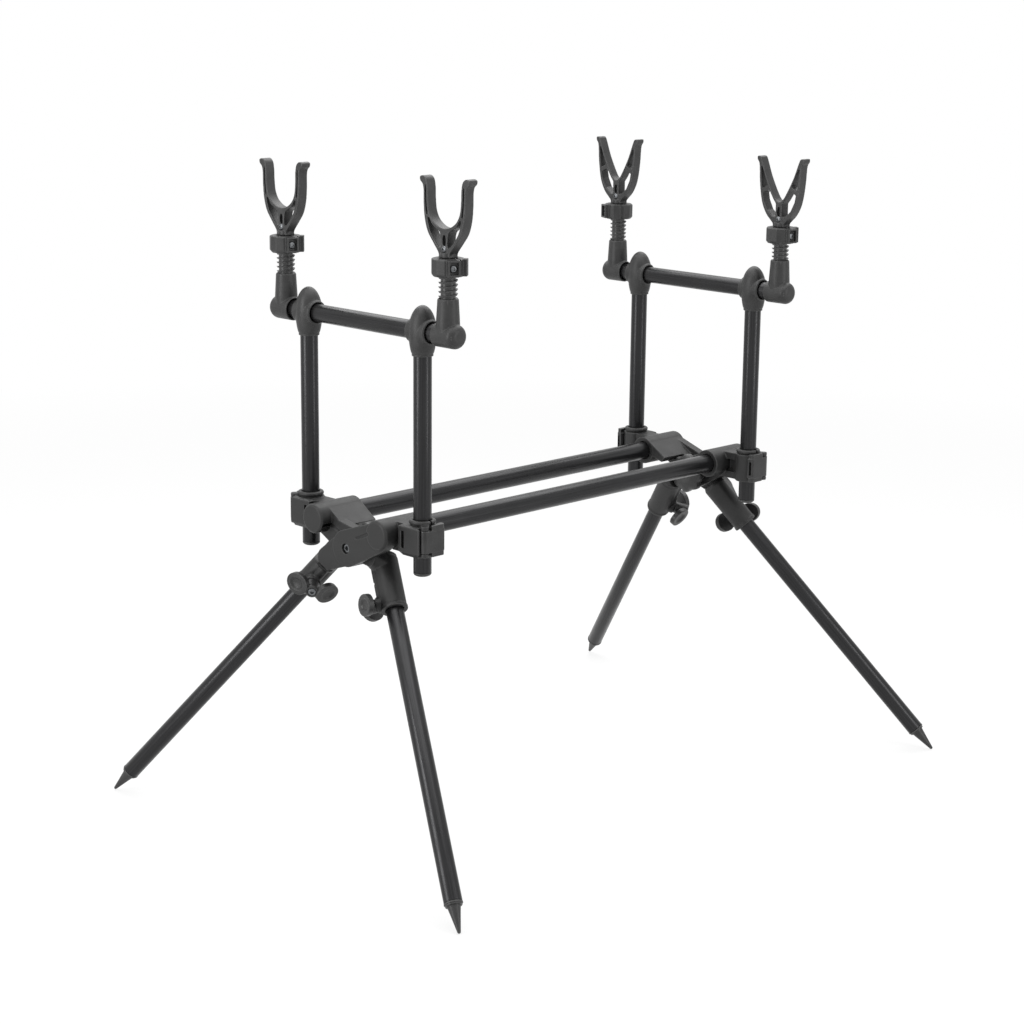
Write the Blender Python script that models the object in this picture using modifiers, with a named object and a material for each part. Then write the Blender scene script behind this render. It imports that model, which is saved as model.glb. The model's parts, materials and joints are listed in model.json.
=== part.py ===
"""A free-standing two-rod stand: black tubes in moulded fittings, with four spiked legs.

Metres, +Z up. The origin is on the ground below the middle of the stand. +X runs along
the two main bars to the rear end, and +Y points to the left. The rear end is the front
end turned half a turn about Z, so both ends share their meshes, apart from the rod rests.
Inside an end, x is measured outwards from its row of uprights.
"""

from math import acos, atan2, cos, hypot, pi, radians, sin

import bmesh
import bpy
from mathutils import Matrix, Vector

# Clearance between pieces that seat on each other, and sides of a round piece
FIT_GAP = 0.0003
TUBE_SIDES = 14
SMALL_SIDES = 8

# Main bars
BAR_DIAMETER = 0.018
BAR_WALL = 0.0012
BAR_SPACING = 0.086
BAR_HEIGHT = 0.287

# Uprights, in two rows
ROW_SPACING = 0.441
POST_SPACING = 0.1508
POST_DIAMETER = 0.016
POST_WALL = 0.001
POST_BELOW_BAR = 0.0305

# Leg brackets: a barrel on the bar, a sleeve on the upright and a flat arm to the leg
BARREL_DIAMETER = 0.025
BARREL_INWARD = 0.0385
BARREL_OUTWARD = 0.0248
BARREL_END_WALL = 0.004
SLEEVE_DIAMETER = 0.025
SLEEVE_LENGTH = 0.031
COLLAR_LENGTH = 0.0036
COLLAR_GROOVE = 0.0008
NECK_WIDTH = 0.018
NECK_WEB = 0.008
NECK_FLANGE = 0.0068
ARM_THICKNESS = 0.0092
OUTER_ARM_FACE = 0.0238
ARM_GAP = 0.0005
ARM_BAR_RADIUS = 0.0133
ARM_BAR_OUT = 0.0015
ARM_BAR_DROP = 0.0032
ARM_PIVOT_RADIUS = 0.0168
ARM_LEG_RADIUS = 0.0105
ARM_GROOVE_DEPTH = 0.001
ARM_GROOVE_WIDTH = 0.0034
ARM_GROOVE_LENGTH = 0.018

# Pivot bolt and hand nut through the crossing of the two arms
PIVOT_BELOW_BAR = 0.020
BOLT_DIAMETER = 0.006
BOLT_HEAD_DIAMETER = 0.0088
BOLT_HEAD_HEIGHT = 0.004
BOLT_HEAD_SINK = 0.0018
BOLT_KEY_DEPTH = 0.0022
HAND_NUT_DIAMETER = 0.040
HAND_NUT_DEPTH = 0.016
HAND_NUT_LOBES = 8
HAND_NUT_BOSS = 0.022
BOLT_SHORT_OF_NUT = 0.0016

# Upright clamp lever on a vertical pin
CLAMP_SLIT = 0.002
CLAMP_PIN_OUT = 0.0126
CLAMP_PIN_ALONG = 0.0088
CLAMP_PIN_DIAMETER = 0.0026
CLAMP_CHEEK = 0.0036
CLAMP_HEIGHT = 0.028
LEVER_KNUCKLE = 0.0076
LEVER_FACE_OUT = 0.0167
LEVER_HALF_WIDTH = 0.0126
LEVER_INSIDE = 0.0100
LEVER_POCKET_DEPTH = 0.006
LEVER_POCKET_WALL = 0.0022

# Legs: knee = top of the socket, tip = point of the spike
OUTER_KNEE = (0.0031, -0.0417, -0.0176)
OUTER_TIP = (0.1145, -0.2354)
INNER_KNEE = (0.0007, 0.0304, -0.0210)
INNER_TIP = (0.1065, 0.2366)
LEG_DIAMETER = 0.016
LEG_WALL = 0.001
SOCKET_DIAMETER = 0.024
SOCKET_LENGTH = 0.037
SOCKET_END_WALL = 0.004
SOCKET_LIP = 0.003
SOCKET_STEP = 0.0005
SPIKE_LENGTH = 0.027
SPIKE_POINT = 0.003
SPIKE_RING = 0.003
SPIGOT_LENGTH = 0.012

# Leg wing knobs
KNOB_FROM_KNEE = 0.0280
KNOB_RIDGE_DIAMETER = 0.009
KNOB_BOSS_DIAMETER = 0.0145
KNOB_SCREW_DIAMETER = 0.005
KNOB_HUB_DIAMETER = 0.0125
KNOB_HUB_START = 0.0155
KNOB_HUB_END = 0.0295
KNOB_SCREW_HEAD = 0.0075
PADDLE_LENGTH = 0.0215
PADDLE_WIDTH = 0.0185
PADDLE_THICKNESS = 0.005
PADDLE_TILT = radians(36.0)
PADDLE_DISH = 0.0012
PADDLE_ROOT_OUT = 0.0026
PADDLE_ROOT_DROP = 0.0028
KNOB_ROOM = 0.0006
OUTER_KNOB_TURN = radians(-72.0)
INNER_KNOB_TURN = radians(-103.0)

# Crossbars and the heads on the uprights
CROSSBAR_DIAMETER = 0.016
CROSSBAR_WALL = 0.001
CROSSBAR_HEIGHT = 0.4683
REAR_GOALPOST_DROP = 0.004
HEAD_DIAMETER = 0.0242
HEAD_BOSS_DIAMETER = 0.022
HEAD_BOSS_LENGTH = 0.0246
HEAD_ABOVE = 0.0225
HEAD_BELOW = 0.0215
HEAD_POST_STOP = 0.0108
HEAD_NECK_DIAMETER = 0.0186
HEAD_NECK_LENGTH = 0.0034
HEAD_NECK_EDGE = 0.0198

# Elbows at the crossbar ends and the threaded studs that they carry
REST_SPACING = 0.214
ELBOW_DIAMETER = 0.0212
ELBOW_INBOARD = 0.012
ELBOW_OUTBOARD = 0.015
ELBOW_END_WALL = 0.0032
ELBOW_BOSS_TOP = 0.0318
ELBOW_BOSS_TOP_DIAMETER = 0.0182
ELBOW_ROUNDING = 0.0065
STUD_DIAMETER = 0.0156
STUD_LENGTH = 0.0485
STUD_SEAT = 0.0169
STUD_BORE = 0.0092
STUD_BORE_DEPTH = 0.013

# Lock collars and rod rests
LOCK_DIAMETER = 0.029
LOCK_HEIGHT = 0.0155
LOCK_FACETS = 12
LOCK_LUG_WIDTH = 0.011
LOCK_LUG_OUT = 0.0172
LOCK_CHAMFER = 0.002
LOCK_POCKET_DEPTH = 0.0032
LOCK_POCKET_WALL = 0.0018
LOCK_LUG_ANGLE = radians(62.0)
REST_DEPTH = 0.010
REST_POCKET = 0.0034
REST_SPIGOT_LENGTH = 0.011
U_REST_HALF_WIDTH = 0.0300
U_REST_HEIGHT = 0.0665
V_REST_HALF_WIDTH = 0.0284
V_REST_HEIGHT = 0.0670

# How far each stud is screwed out past the mean, and which way its collar's lug points
STUD_SCREWED_OUT = {
    ("front", "left"): 0.0, ("front", "right"): 0.0,
    ("rear", "left"): 0.0036, ("rear", "right"): -0.0021,
}
COLLAR_TURN = {
    ("front", "left"): radians(254.0), ("front", "right"): radians(245.0),
    ("rear", "left"): radians(155.0), ("rear", "right"): radians(262.0),
}

BAR_Y = BAR_SPACING / 2
POST_Y = POST_SPACING / 2
REST_Y = REST_SPACING / 2
ROW_X = ROW_SPACING / 2
PIVOT_Z = BAR_HEIGHT - PIVOT_BELOW_BAR
INNER_ARM_FACE = OUTER_ARM_FACE - ARM_THICKNESS - ARM_GAP
ARM_INNER_SIDE = INNER_ARM_FACE - ARM_THICKNESS

# Turns an outline drawn in XY, and extruded along Z, so that it stands across the end
ACROSS = Matrix(((0, 0, 1, 0), (1, 0, 0, 0), (0, 1, 0, 0), (0, 0, 0, 1)))


def clear_scene():
    for old in list(bpy.data.objects):
        bpy.data.objects.remove(old)


def new_collection(name):
    made = bpy.data.collections.new(name)
    bpy.context.scene.collection.children.link(made)
    return made


def finish(name, colour, roughness, metallic):
    made = bpy.data.materials.new(name)
    made.use_nodes = True
    shader = made.node_tree.nodes["Principled BSDF"]
    shader.inputs["Base Color"].default_value = (*colour, 1.0)
    shader.inputs["Roughness"].default_value = roughness
    shader.inputs["Metallic"].default_value = metallic
    return made


clear_scene()
parts = new_collection("two_rod_stand")
tools = new_collection("two_rod_stand_cutters")

ANODISED = finish("anodised_tube_black", (0.024, 0.024, 0.027), 0.32, 0.85)
MOULDED = finish("moulded_fitting_black", (0.032, 0.032, 0.034), 0.55, 0.0)
RESTS = finish("rod_rest_black", (0.026, 0.026, 0.028), 0.5, 0.0)
KNOBS = finish("knob_black", (0.022, 0.022, 0.024), 0.45, 0.0)
THREADED = finish("threaded_stud_black", (0.020, 0.020, 0.022), 0.4, 0.0)
SPIKES = finish("leg_spike_black", (0.028, 0.028, 0.030), 0.42, 0.0)
STEEL = finish("zinc_plated_screw", (0.62, 0.62, 0.60), 0.3, 1.0)


def working(mesh):
    """An object that only lends its shape, kept out of renders until it is used up."""
    made = bpy.data.objects.new("tool", mesh)
    made.hide_render = True
    made.display_type = "WIRE"
    tools.objects.link(made)
    return made


def applied(source, *others):
    """The source's mesh with its modifiers applied. The working objects are removed."""
    graph = bpy.context.evaluated_depsgraph_get()
    mesh = bpy.data.meshes.new_from_object(source.evaluated_get(graph))
    for used in (source, *others):
        bpy.data.objects.remove(used)
    return mesh


def combined(base, add=(), cut=(), solver="EXACT"):
    """The base with every shape of add joined to it, and then every shape of cut removed."""
    body = working(base)
    used = []
    for operation, shapes in (("UNION", add), ("DIFFERENCE", cut)):
        for shape in shapes:
            tool = working(shape)
            step = body.modifiers.new(operation.lower(), "BOOLEAN")
            step.operation = operation
            step.solver = solver
            step.object = tool
            used.append(tool)
    return dissolved(applied(body, *used))


def dissolved(mesh):
    """The same shape with the flat faces that a Boolean splits made whole again."""
    bm = bmesh.new()
    bm.from_mesh(mesh)
    bmesh.ops.remove_doubles(bm, verts=bm.verts, dist=0.000001)
    bmesh.ops.dissolve_limit(bm, angle_limit=radians(0.2), verts=bm.verts, edges=bm.edges)
    return shape_of(bm)


def bevelled(mesh, width, segments=1, angle=radians(50.0)):
    body = working(mesh)
    step = body.modifiers.new("edges", "BEVEL")
    step.width = width
    step.segments = segments
    step.limit_method = "ANGLE"
    step.angle_limit = angle
    return applied(body)


def moved(mesh, matrix):
    mesh.transform(matrix)
    return mesh


def shape_of(bm):
    mesh = bpy.data.meshes.new("shape")
    bm.to_mesh(mesh)
    bm.free()
    return mesh


def cylinder(diameter, start, end, sides=TUBE_SIDES):
    """A round bar along Z."""
    bm = bmesh.new()
    radius = diameter / 2
    bmesh.ops.create_cone(
        bm, cap_ends=True, segments=sides, radius1=radius, radius2=radius, depth=end - start
    )
    bmesh.ops.translate(bm, verts=bm.verts, vec=(0.0, 0.0, (start + end) / 2))
    return shape_of(bm)


def box(x_range, y_range, z_range):
    bm = bmesh.new()
    bmesh.ops.create_cube(bm, size=1.0)
    ranges = (x_range, y_range, z_range)
    bmesh.ops.scale(bm, verts=bm.verts, vec=[high - low for low, high in ranges])
    bmesh.ops.translate(bm, verts=bm.verts, vec=[(low + high) / 2 for low, high in ranges])
    return shape_of(bm)


def turned(profile, sides=TUBE_SIDES, ring=False):
    """A turned shape from (radius, height) points that run down its outer side."""
    mesh = bpy.data.meshes.new("profile")
    count = len(profile)
    edges = [(i, i + 1) for i in range(count - 1)]
    if ring:
        edges.append((count - 1, 0))
    mesh.from_pydata([(radius, 0.0, height) for radius, height in profile], edges, [])
    body = working(mesh)
    step = body.modifiers.new("turn", "SCREW")
    step.steps = sides
    step.render_steps = sides
    step.use_merge_vertices = True
    step.merge_threshold = 0.00001
    return applied(body)


def tube(diameter, wall, start, end):
    outer = diameter / 2
    inner = outer - wall
    return turned([(outer, end), (outer, start), (inner, start), (inner, end)], ring=True)


def extruded(outlines, low, high):
    """Flat outlines in XY, the later ones holes in the first, extruded from low to high."""
    curve = bpy.data.curves.new("outline", "CURVE")
    curve.dimensions = "2D"
    curve.fill_mode = "BOTH"
    curve.extrude = (high - low) / 2
    for points in outlines:
        spline = curve.splines.new("POLY")
        spline.points.add(len(points) - 1)
        for place, (x, y) in zip(spline.points, points):
            place.co = (x, y, 0.0, 1.0)
        spline.use_cyclic_u = True
    flat = bpy.data.objects.new("outline", curve)
    tools.objects.link(flat)
    mesh = applied(flat)
    bm = bmesh.new()
    bm.from_mesh(mesh)
    bmesh.ops.remove_doubles(bm, verts=bm.verts, dist=0.000001)
    bmesh.ops.recalc_face_normals(bm, faces=bm.faces)
    bmesh.ops.translate(bm, verts=bm.verts, vec=(0.0, 0.0, (low + high) / 2))
    return shape_of(bm)


def hull(*meshes):
    """The skin stretched over all points of the given shapes."""
    bm = bmesh.new()
    for mesh in meshes:
        bm.from_mesh(mesh)
    bmesh.ops.delete(bm, geom=list(bm.faces) + list(bm.edges), context="EDGES_FACES")
    found = bmesh.ops.convex_hull(bm, input=bm.verts)
    inside = [item for item in found["geom_interior"] if isinstance(item, bmesh.types.BMVert)]
    bmesh.ops.delete(bm, geom=inside, context="VERTS")
    bmesh.ops.recalc_face_normals(bm, faces=bm.faces)
    return shape_of(bm)


def arc(centre, radius, start, end, count):
    """Points on an arc, both ends included."""
    steps = [start + (end - start) * i / (count - 1) for i in range(count)]
    return [(centre[0] + radius * cos(a), centre[1] + radius * sin(a)) for a in steps]


def link(first, first_radius, second, second_radius, count=6):
    """The outline of a flat link: a belt round two discs."""
    along = atan2(second[1] - first[1], second[0] - first[0])
    length = hypot(second[0] - first[0], second[1] - first[1])
    open_angle = acos((first_radius - second_radius) / length)
    far = arc(second, second_radius, along - open_angle, along + open_angle, count)
    near = arc(first, first_radius, along + open_angle, along + 2 * pi - open_angle, count)
    return far + near


def ellipse(centre, half_x, half_y, count=16):
    steps = [2 * pi * i / count for i in range(count)]
    return [(centre[0] + half_x * cos(a), centre[1] + half_y * sin(a)) for a in steps]


def smooth(points, closed=False, per_span=3):
    """A smooth line through the points, with per_span pieces between two of them."""
    count = len(points)
    spans = count if closed else count - 1
    line = []
    for i in range(spans):
        if closed:
            four = [Vector(points[(i + k) % count]) for k in (-1, 0, 1, 2)]
        else:
            four = [Vector(points[min(max(i + k, 0), count - 1)]) for k in (-1, 0, 1, 2)]
        before, here, there, after = four
        for step in range(per_span):
            t = step / per_span
            pull = there - before
            bend = 2 * before - 5 * here + 4 * there - after
            swing = 3 * here - before - 3 * there + after
            line.append(tuple(0.5 * (2 * here + pull * t + bend * t**2 + swing * t**3)))
    if not closed:
        line.append(tuple(points[-1]))
    return line


def mirrored(points):
    """The same outline on the other side of x = 0."""
    return [(-x, y) for x, y in reversed(points)]


def place(name, mesh, material, parent, matrix=None):
    """A finished piece in the stand's collection, smooth but for its sharp edges."""
    if not mesh.materials:
        mesh.materials.append(material)
        mesh.shade_smooth()
        mesh.set_sharp_from_angle(angle=radians(35.0))
    piece = bpy.data.objects.new(name, mesh)
    parts.objects.link(piece)
    piece.parent = parent
    piece.matrix_local = matrix or Matrix()
    return piece


def joint_frame(name, parent, matrix=None):
    """An empty on a joint's axis, which carries the pieces that move together."""
    empty = bpy.data.objects.new(name, None)
    empty.empty_display_size = 0.02
    parts.objects.link(empty)
    empty.parent = parent
    empty.matrix_local = matrix or Matrix()
    return empty


def at(x, y, z):
    return Matrix.Translation((x, y, z))


ALONG_X = Matrix.Rotation(pi / 2, 4, "Y")
ALONG_Y = Matrix.Rotation(-pi / 2, 4, "X")


class Leg:
    """Where one leg runs: Z goes from its knee down to its tip, X along its knob's screw."""

    def __init__(self, knee, tip, side, knob_turn):
        self.knee = Vector((knee[0], knee[1], PIVOT_Z + knee[2]))
        foot = Vector((tip[0], tip[1], 0.0))
        slope = (foot - self.knee).normalized()
        foot.z = SPIKE_POINT / 2 * hypot(slope.x, slope.y)
        self.length = (foot - self.knee).length
        z_axis = (foot - self.knee).normalized()
        outward = Vector((0.675, 0.715 * side, -0.278))
        x_axis = (outward - outward.dot(z_axis) * z_axis).normalized()
        y_axis = z_axis.cross(x_axis)
        turn = Matrix((x_axis, y_axis, z_axis)).transposed().to_4x4()
        self.frame = Matrix.Translation(self.knee) @ turn
        self.knob_frame = self.frame @ at(0, 0, KNOB_FROM_KNEE) @ ALONG_X
        self.knob_frame = self.knob_frame @ Matrix.Rotation(knob_turn, 4, "Z")


OUTER_LEG = Leg(OUTER_KNEE, OUTER_TIP, 1, OUTER_KNOB_TURN)
INNER_LEG = Leg(INNER_KNEE, INNER_TIP, -1, INNER_KNOB_TURN)


def sleeve_profile():
    """Outline of the clamp sleeve, with the separate-looking ring on its top."""
    low = BAR_HEIGHT - SLEEVE_LENGTH / 2 - FIT_GAP
    top = low + SLEEVE_LENGTH
    radius = SLEEVE_DIAMETER / 2
    edge = 0.0008
    return [
        (0.0, top + COLLAR_GROOVE + COLLAR_LENGTH),
        (radius + edge / 2, top + COLLAR_GROOVE + COLLAR_LENGTH),
        (radius + edge / 2, top + COLLAR_GROOVE),
        (radius - edge, top + COLLAR_GROOVE),
        (radius - edge, top),
        (radius, top),
        (radius, low),
        (0.0, low),
    ]


def barrel_profile():
    """Outline of the barrel along the bar, inward end at the top."""
    radius = BARREL_DIAMETER / 2
    edge = 0.001
    return [
        (0.0, BARREL_OUTWARD),
        (radius - 1.6 * edge, BARREL_OUTWARD),
        (radius, BARREL_OUTWARD - 1.6 * edge),
        (radius, -BARREL_INWARD),
        (0.0, -BARREL_INWARD),
    ]


def clamp_lug(side):
    """The two cheeks beside the sleeve that hold the lever's pin, and the room they leave."""
    low = BAR_HEIGHT - CLAMP_HEIGHT / 2
    high = BAR_HEIGHT + CLAMP_HEIGHT / 2
    knuckle = LEVER_KNUCKLE / 2
    pin = (CLAMP_PIN_ALONG, side * (POST_Y + CLAMP_PIN_OUT))
    root = (CLAMP_PIN_ALONG * 0.45, side * (POST_Y + CLAMP_PIN_OUT * 0.6))
    cheeks = []
    for bottom, top in ((low, low + CLAMP_CHEEK), (high - CLAMP_CHEEK, high)):
        cheeks.append(extruded([link(root, knuckle, pin, knuckle - 0.0003, 5)], bottom, top))
    room = moved(
        cylinder(LEVER_KNUCKLE + 0.001, low + CLAMP_CHEEK, high - CLAMP_CHEEK, 12),
        at(pin[0], pin[1], 0.0),
    )
    pin_hole = moved(
        cylinder(CLAMP_PIN_DIAMETER + 2 * FIT_GAP, low - 0.01, high - CLAMP_CHEEK / 2, SMALL_SIDES),
        at(pin[0], pin[1], 0.0),
    )
    return cheeks, (room, pin_hole)


def paddle_sweep():
    """The room that the drooping paddles of a wing knob turn in."""
    tip_out = PADDLE_ROOT_OUT + PADDLE_LENGTH * cos(PADDLE_TILT)
    root_low = KNOB_HUB_END - PADDLE_ROOT_DROP - KNOB_ROOM
    tip_low = root_low - PADDLE_LENGTH * sin(PADDLE_TILT)
    edge_out = tip_out + PADDLE_THICKNESS * sin(PADDLE_TILT) + KNOB_ROOM
    edge_low = tip_low + PADDLE_THICKNESS * cos(PADDLE_TILT)
    return turned(
        [
            (0.0, KNOB_HUB_END + PADDLE_THICKNESS),
            (edge_out, KNOB_HUB_END + PADDLE_THICKNESS),
            (edge_out, edge_low),
            (tip_out, tip_low),
            (0.0, root_low),
        ],
        20,
    )


def bracket(side, face, leg):
    """One leg bracket. Side says on which bar it sits, face is its arm's outer face."""
    bar = (side * BAR_Y, BAR_HEIGHT)
    pivot = (0.0, PIVOT_Z)
    wall = SLEEVE_DIAMETER / 2
    low = BAR_HEIGHT - SLEEVE_LENGTH / 2 + 0.001
    high = low + SLEEVE_LENGTH - 0.002
    barrel = moved(turned(barrel_profile()), at(0, bar[0], BAR_HEIGHT) @ ALONG_X)
    sleeve = moved(turned(sleeve_profile(), TUBE_SIDES), at(0, side * POST_Y, 0))
    neck_y = tuple(sorted((bar[0] + side * 0.0031, side * (POST_Y - wall + 0.0028))))
    web = box((-NECK_WEB / 2, NECK_WEB / 2), neck_y, (low + 0.001, high - 0.001))
    half = NECK_WIDTH / 2
    foot = box((-half, half), neck_y, (low, low + NECK_FLANGE))
    head = box((-half, half), neck_y, (high - NECK_FLANGE, high))

    # The arm: a flat link from beside the barrel past the pivot, and on to the leg
    knee = (leg.knee.y, leg.knee.z)
    inner = face - ARM_THICKNESS
    start = (side * (BAR_Y + ARM_BAR_OUT), BAR_HEIGHT - ARM_BAR_DROP)
    arm = moved(
        extruded([link(start, ARM_BAR_RADIUS, pivot, ARM_PIVOT_RADIUS)], inner, face), ACROSS
    )
    elbow = (knee[0] * 0.62, knee[1] + 0.004)
    lower = moved(
        extruded(
            [link(pivot, ARM_PIVOT_RADIUS - 0.0012, elbow, ARM_LEG_RADIUS)],
            inner + FIT_GAP,
            face - FIT_GAP,
        ),
        ACROSS,
    )
    pad = moved(
        extruded(
            [ellipse(elbow, ARM_LEG_RADIUS - 0.0006, ARM_LEG_RADIUS - 0.0006, 10)],
            inner + 0.0005,
            face - 0.0005,
        ),
        ACROSS,
    )
    seat = moved(cylinder(SOCKET_DIAMETER - 0.002, 0.0005, 0.012, 10), leg.frame)
    knuckle = hull(pad, seat)
    wide = SOCKET_DIAMETER / 2
    slim = wide - SOCKET_STEP
    socket = moved(
        turned(
            [
                (0.0, SOCKET_LENGTH),
                (wide, SOCKET_LENGTH),
                (wide, SOCKET_LENGTH - SOCKET_LIP),
                (slim, SOCKET_LENGTH - SOCKET_LIP),
                (slim, 0.002),
                (slim - 0.002, 0.0),
                (0.0, 0.0),
            ]
        ),
        leg.frame,
    )
    boss_radius = KNOB_BOSS_DIAMETER / 2
    knob_boss = moved(
        cylinder(KNOB_BOSS_DIAMETER, 0.006, KNOB_HUB_START - FIT_GAP, 12), leg.knob_frame
    )
    ridge = moved(
        cylinder(KNOB_RIDGE_DIAMETER, 0.0015, KNOB_FROM_KNEE - boss_radius / 2, 10),
        leg.frame @ at(slim - KNOB_RIDGE_DIAMETER * 0.22, 0, 0),
    )

    # Cuts: the groove in the face, the bolt, the bar, the upright, the leg and its knob
    along = Vector((pivot[0] - start[0], pivot[1] - start[1])).normalized()
    across = Vector((-along.y, along.x)) * (1 if side < 0 else -1)
    root = Vector(start) + along * (ARM_BAR_RADIUS * 0.75) - across * (ARM_BAR_RADIUS * -0.42)
    tip = root + along * ARM_GROOVE_LENGTH
    groove = moved(
        extruded(
            [link(tuple(root), ARM_GROOVE_WIDTH / 2, tuple(tip), ARM_GROOVE_WIDTH / 3, 4)],
            face - ARM_GROOVE_DEPTH,
            face + 0.01,
        ),
        ACROSS,
    )
    bolt_hole = moved(
        cylinder(BOLT_DIAMETER + 2 * FIT_GAP, inner - 0.01, face + 0.01, 12),
        at(0, 0, PIVOT_Z) @ ALONG_X,
    )
    barrel_end = BARREL_OUTWARD - BARREL_END_WALL
    bar_bore = moved(
        cylinder(BAR_DIAMETER + 2 * FIT_GAP, -BARREL_INWARD - 0.01, barrel_end),
        at(0, bar[0], BAR_HEIGHT) @ ALONG_X,
    )
    post_bore = moved(
        cylinder(POST_DIAMETER + 2 * FIT_GAP, BAR_HEIGHT - 0.05, BAR_HEIGHT + 0.05),
        at(0, side * POST_Y, 0),
    )
    leg_bore = moved(
        cylinder(LEG_DIAMETER + 2 * FIT_GAP, SOCKET_END_WALL, SOCKET_LENGTH + 0.01), leg.frame
    )
    knob_hole = moved(
        cylinder(KNOB_SCREW_DIAMETER + 2 * FIT_GAP, 0.004, 0.03, SMALL_SIDES), leg.knob_frame
    )
    slit_y = tuple(sorted((side * POST_Y, side * (POST_Y + wall + 0.005))))
    slit = box((-CLAMP_SLIT / 2, CLAMP_SLIT / 2), slit_y, (BAR_HEIGHT - 0.04, BAR_HEIGHT + 0.04))
    cheeks, cheek_cuts = clamp_lug(side)
    # Room for the other arm, which crosses this one on its inner or its outer side
    beside = (inner - ARM_THICKNESS - ARM_GAP, inner - ARM_GAP / 4)
    if side < 0:
        beside = (face + ARM_GAP / 4, face + ARM_THICKNESS + ARM_GAP)
    other_start = (-start[0], start[1])
    crossing = link(
        other_start, ARM_BAR_RADIUS + ARM_GAP, pivot, ARM_PIVOT_RADIUS + ARM_GAP
    )
    room = moved(extruded([crossing], *beside), ACROSS)
    sweep = moved(paddle_sweep(), leg.knob_frame)

    solids = [barrel, sleeve, web, foot, head, lower, knuckle, socket, ridge, knob_boss, *cheeks]
    shaped = combined(arm, add=solids, solver="MANIFOLD")
    cuts = [room, sweep, groove, bolt_hole, bar_bore, post_bore, leg_bore, knob_hole, slit]
    cuts += cheek_cuts
    if side > 0:
        sink = BOLT_HEAD_HEIGHT + BOLT_HEAD_SINK
        cuts.append(
            moved(
                cylinder(BOLT_HEAD_DIAMETER + 2 * FIT_GAP, face - sink, face + 0.01, 12),
                at(0, 0, PIVOT_Z) @ ALONG_X,
            )
        )
    return combined(shaped, cut=cuts, solver="MANIFOLD")


def main_bar(length):
    return moved(tube(BAR_DIAMETER, BAR_WALL, -length / 2, length / 2), ALONG_X)


def pivot_bolt(length):
    """The bolt points inwards: its head is at the outer arm and its end in the hand nut."""
    radius = BOLT_DIAMETER / 2
    head = BOLT_HEAD_DIAMETER / 2
    key = BOLT_DIAMETER * 0.4
    return turned(
        [
            (0.0, -BOLT_KEY_DEPTH),
            (key, -BOLT_KEY_DEPTH),
            (key, 0.0),
            (head - 0.0006, 0.0),
            (head, -0.0006),
            (head, -BOLT_HEAD_HEIGHT),
            (radius, -BOLT_HEAD_HEIGHT),
            (radius, 0.0008 - length),
            (radius - 0.0008, -length),
            (0.0, -length),
        ],
        12,
    )


def hand_nut():
    """A domed, lobed nut. Z points away from the arm, from its seat at 0."""
    lobes = []
    for i in range(HAND_NUT_LOBES * 3):
        angle = 2 * pi * i / (HAND_NUT_LOBES * 3)
        radius = HAND_NUT_DIAMETER / 2 - 0.0009 * (1 - cos(HAND_NUT_LOBES * angle))
        lobes.append((radius * cos(angle), radius * sin(angle)))
    grip = extruded([lobes], 0.0042, 0.0115)
    radius = HAND_NUT_DIAMETER / 2 - 0.0035
    dome = turned(
        [
            (0.0, HAND_NUT_DEPTH),
            (0.007, HAND_NUT_DEPTH - 0.0002),
            (0.012, HAND_NUT_DEPTH - 0.0016),
            (radius, 0.0102),
            (radius, 0.005),
            (HAND_NUT_BOSS / 2, 0.003),
            (HAND_NUT_BOSS / 2, 0.0),
            (0.0, 0.0),
        ],
    )
    bore = cylinder(BOLT_DIAMETER + 2 * FIT_GAP, -0.01, HAND_NUT_DEPTH + 0.01, 12)
    return combined(grip, add=[dome], cut=[bore])


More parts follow.
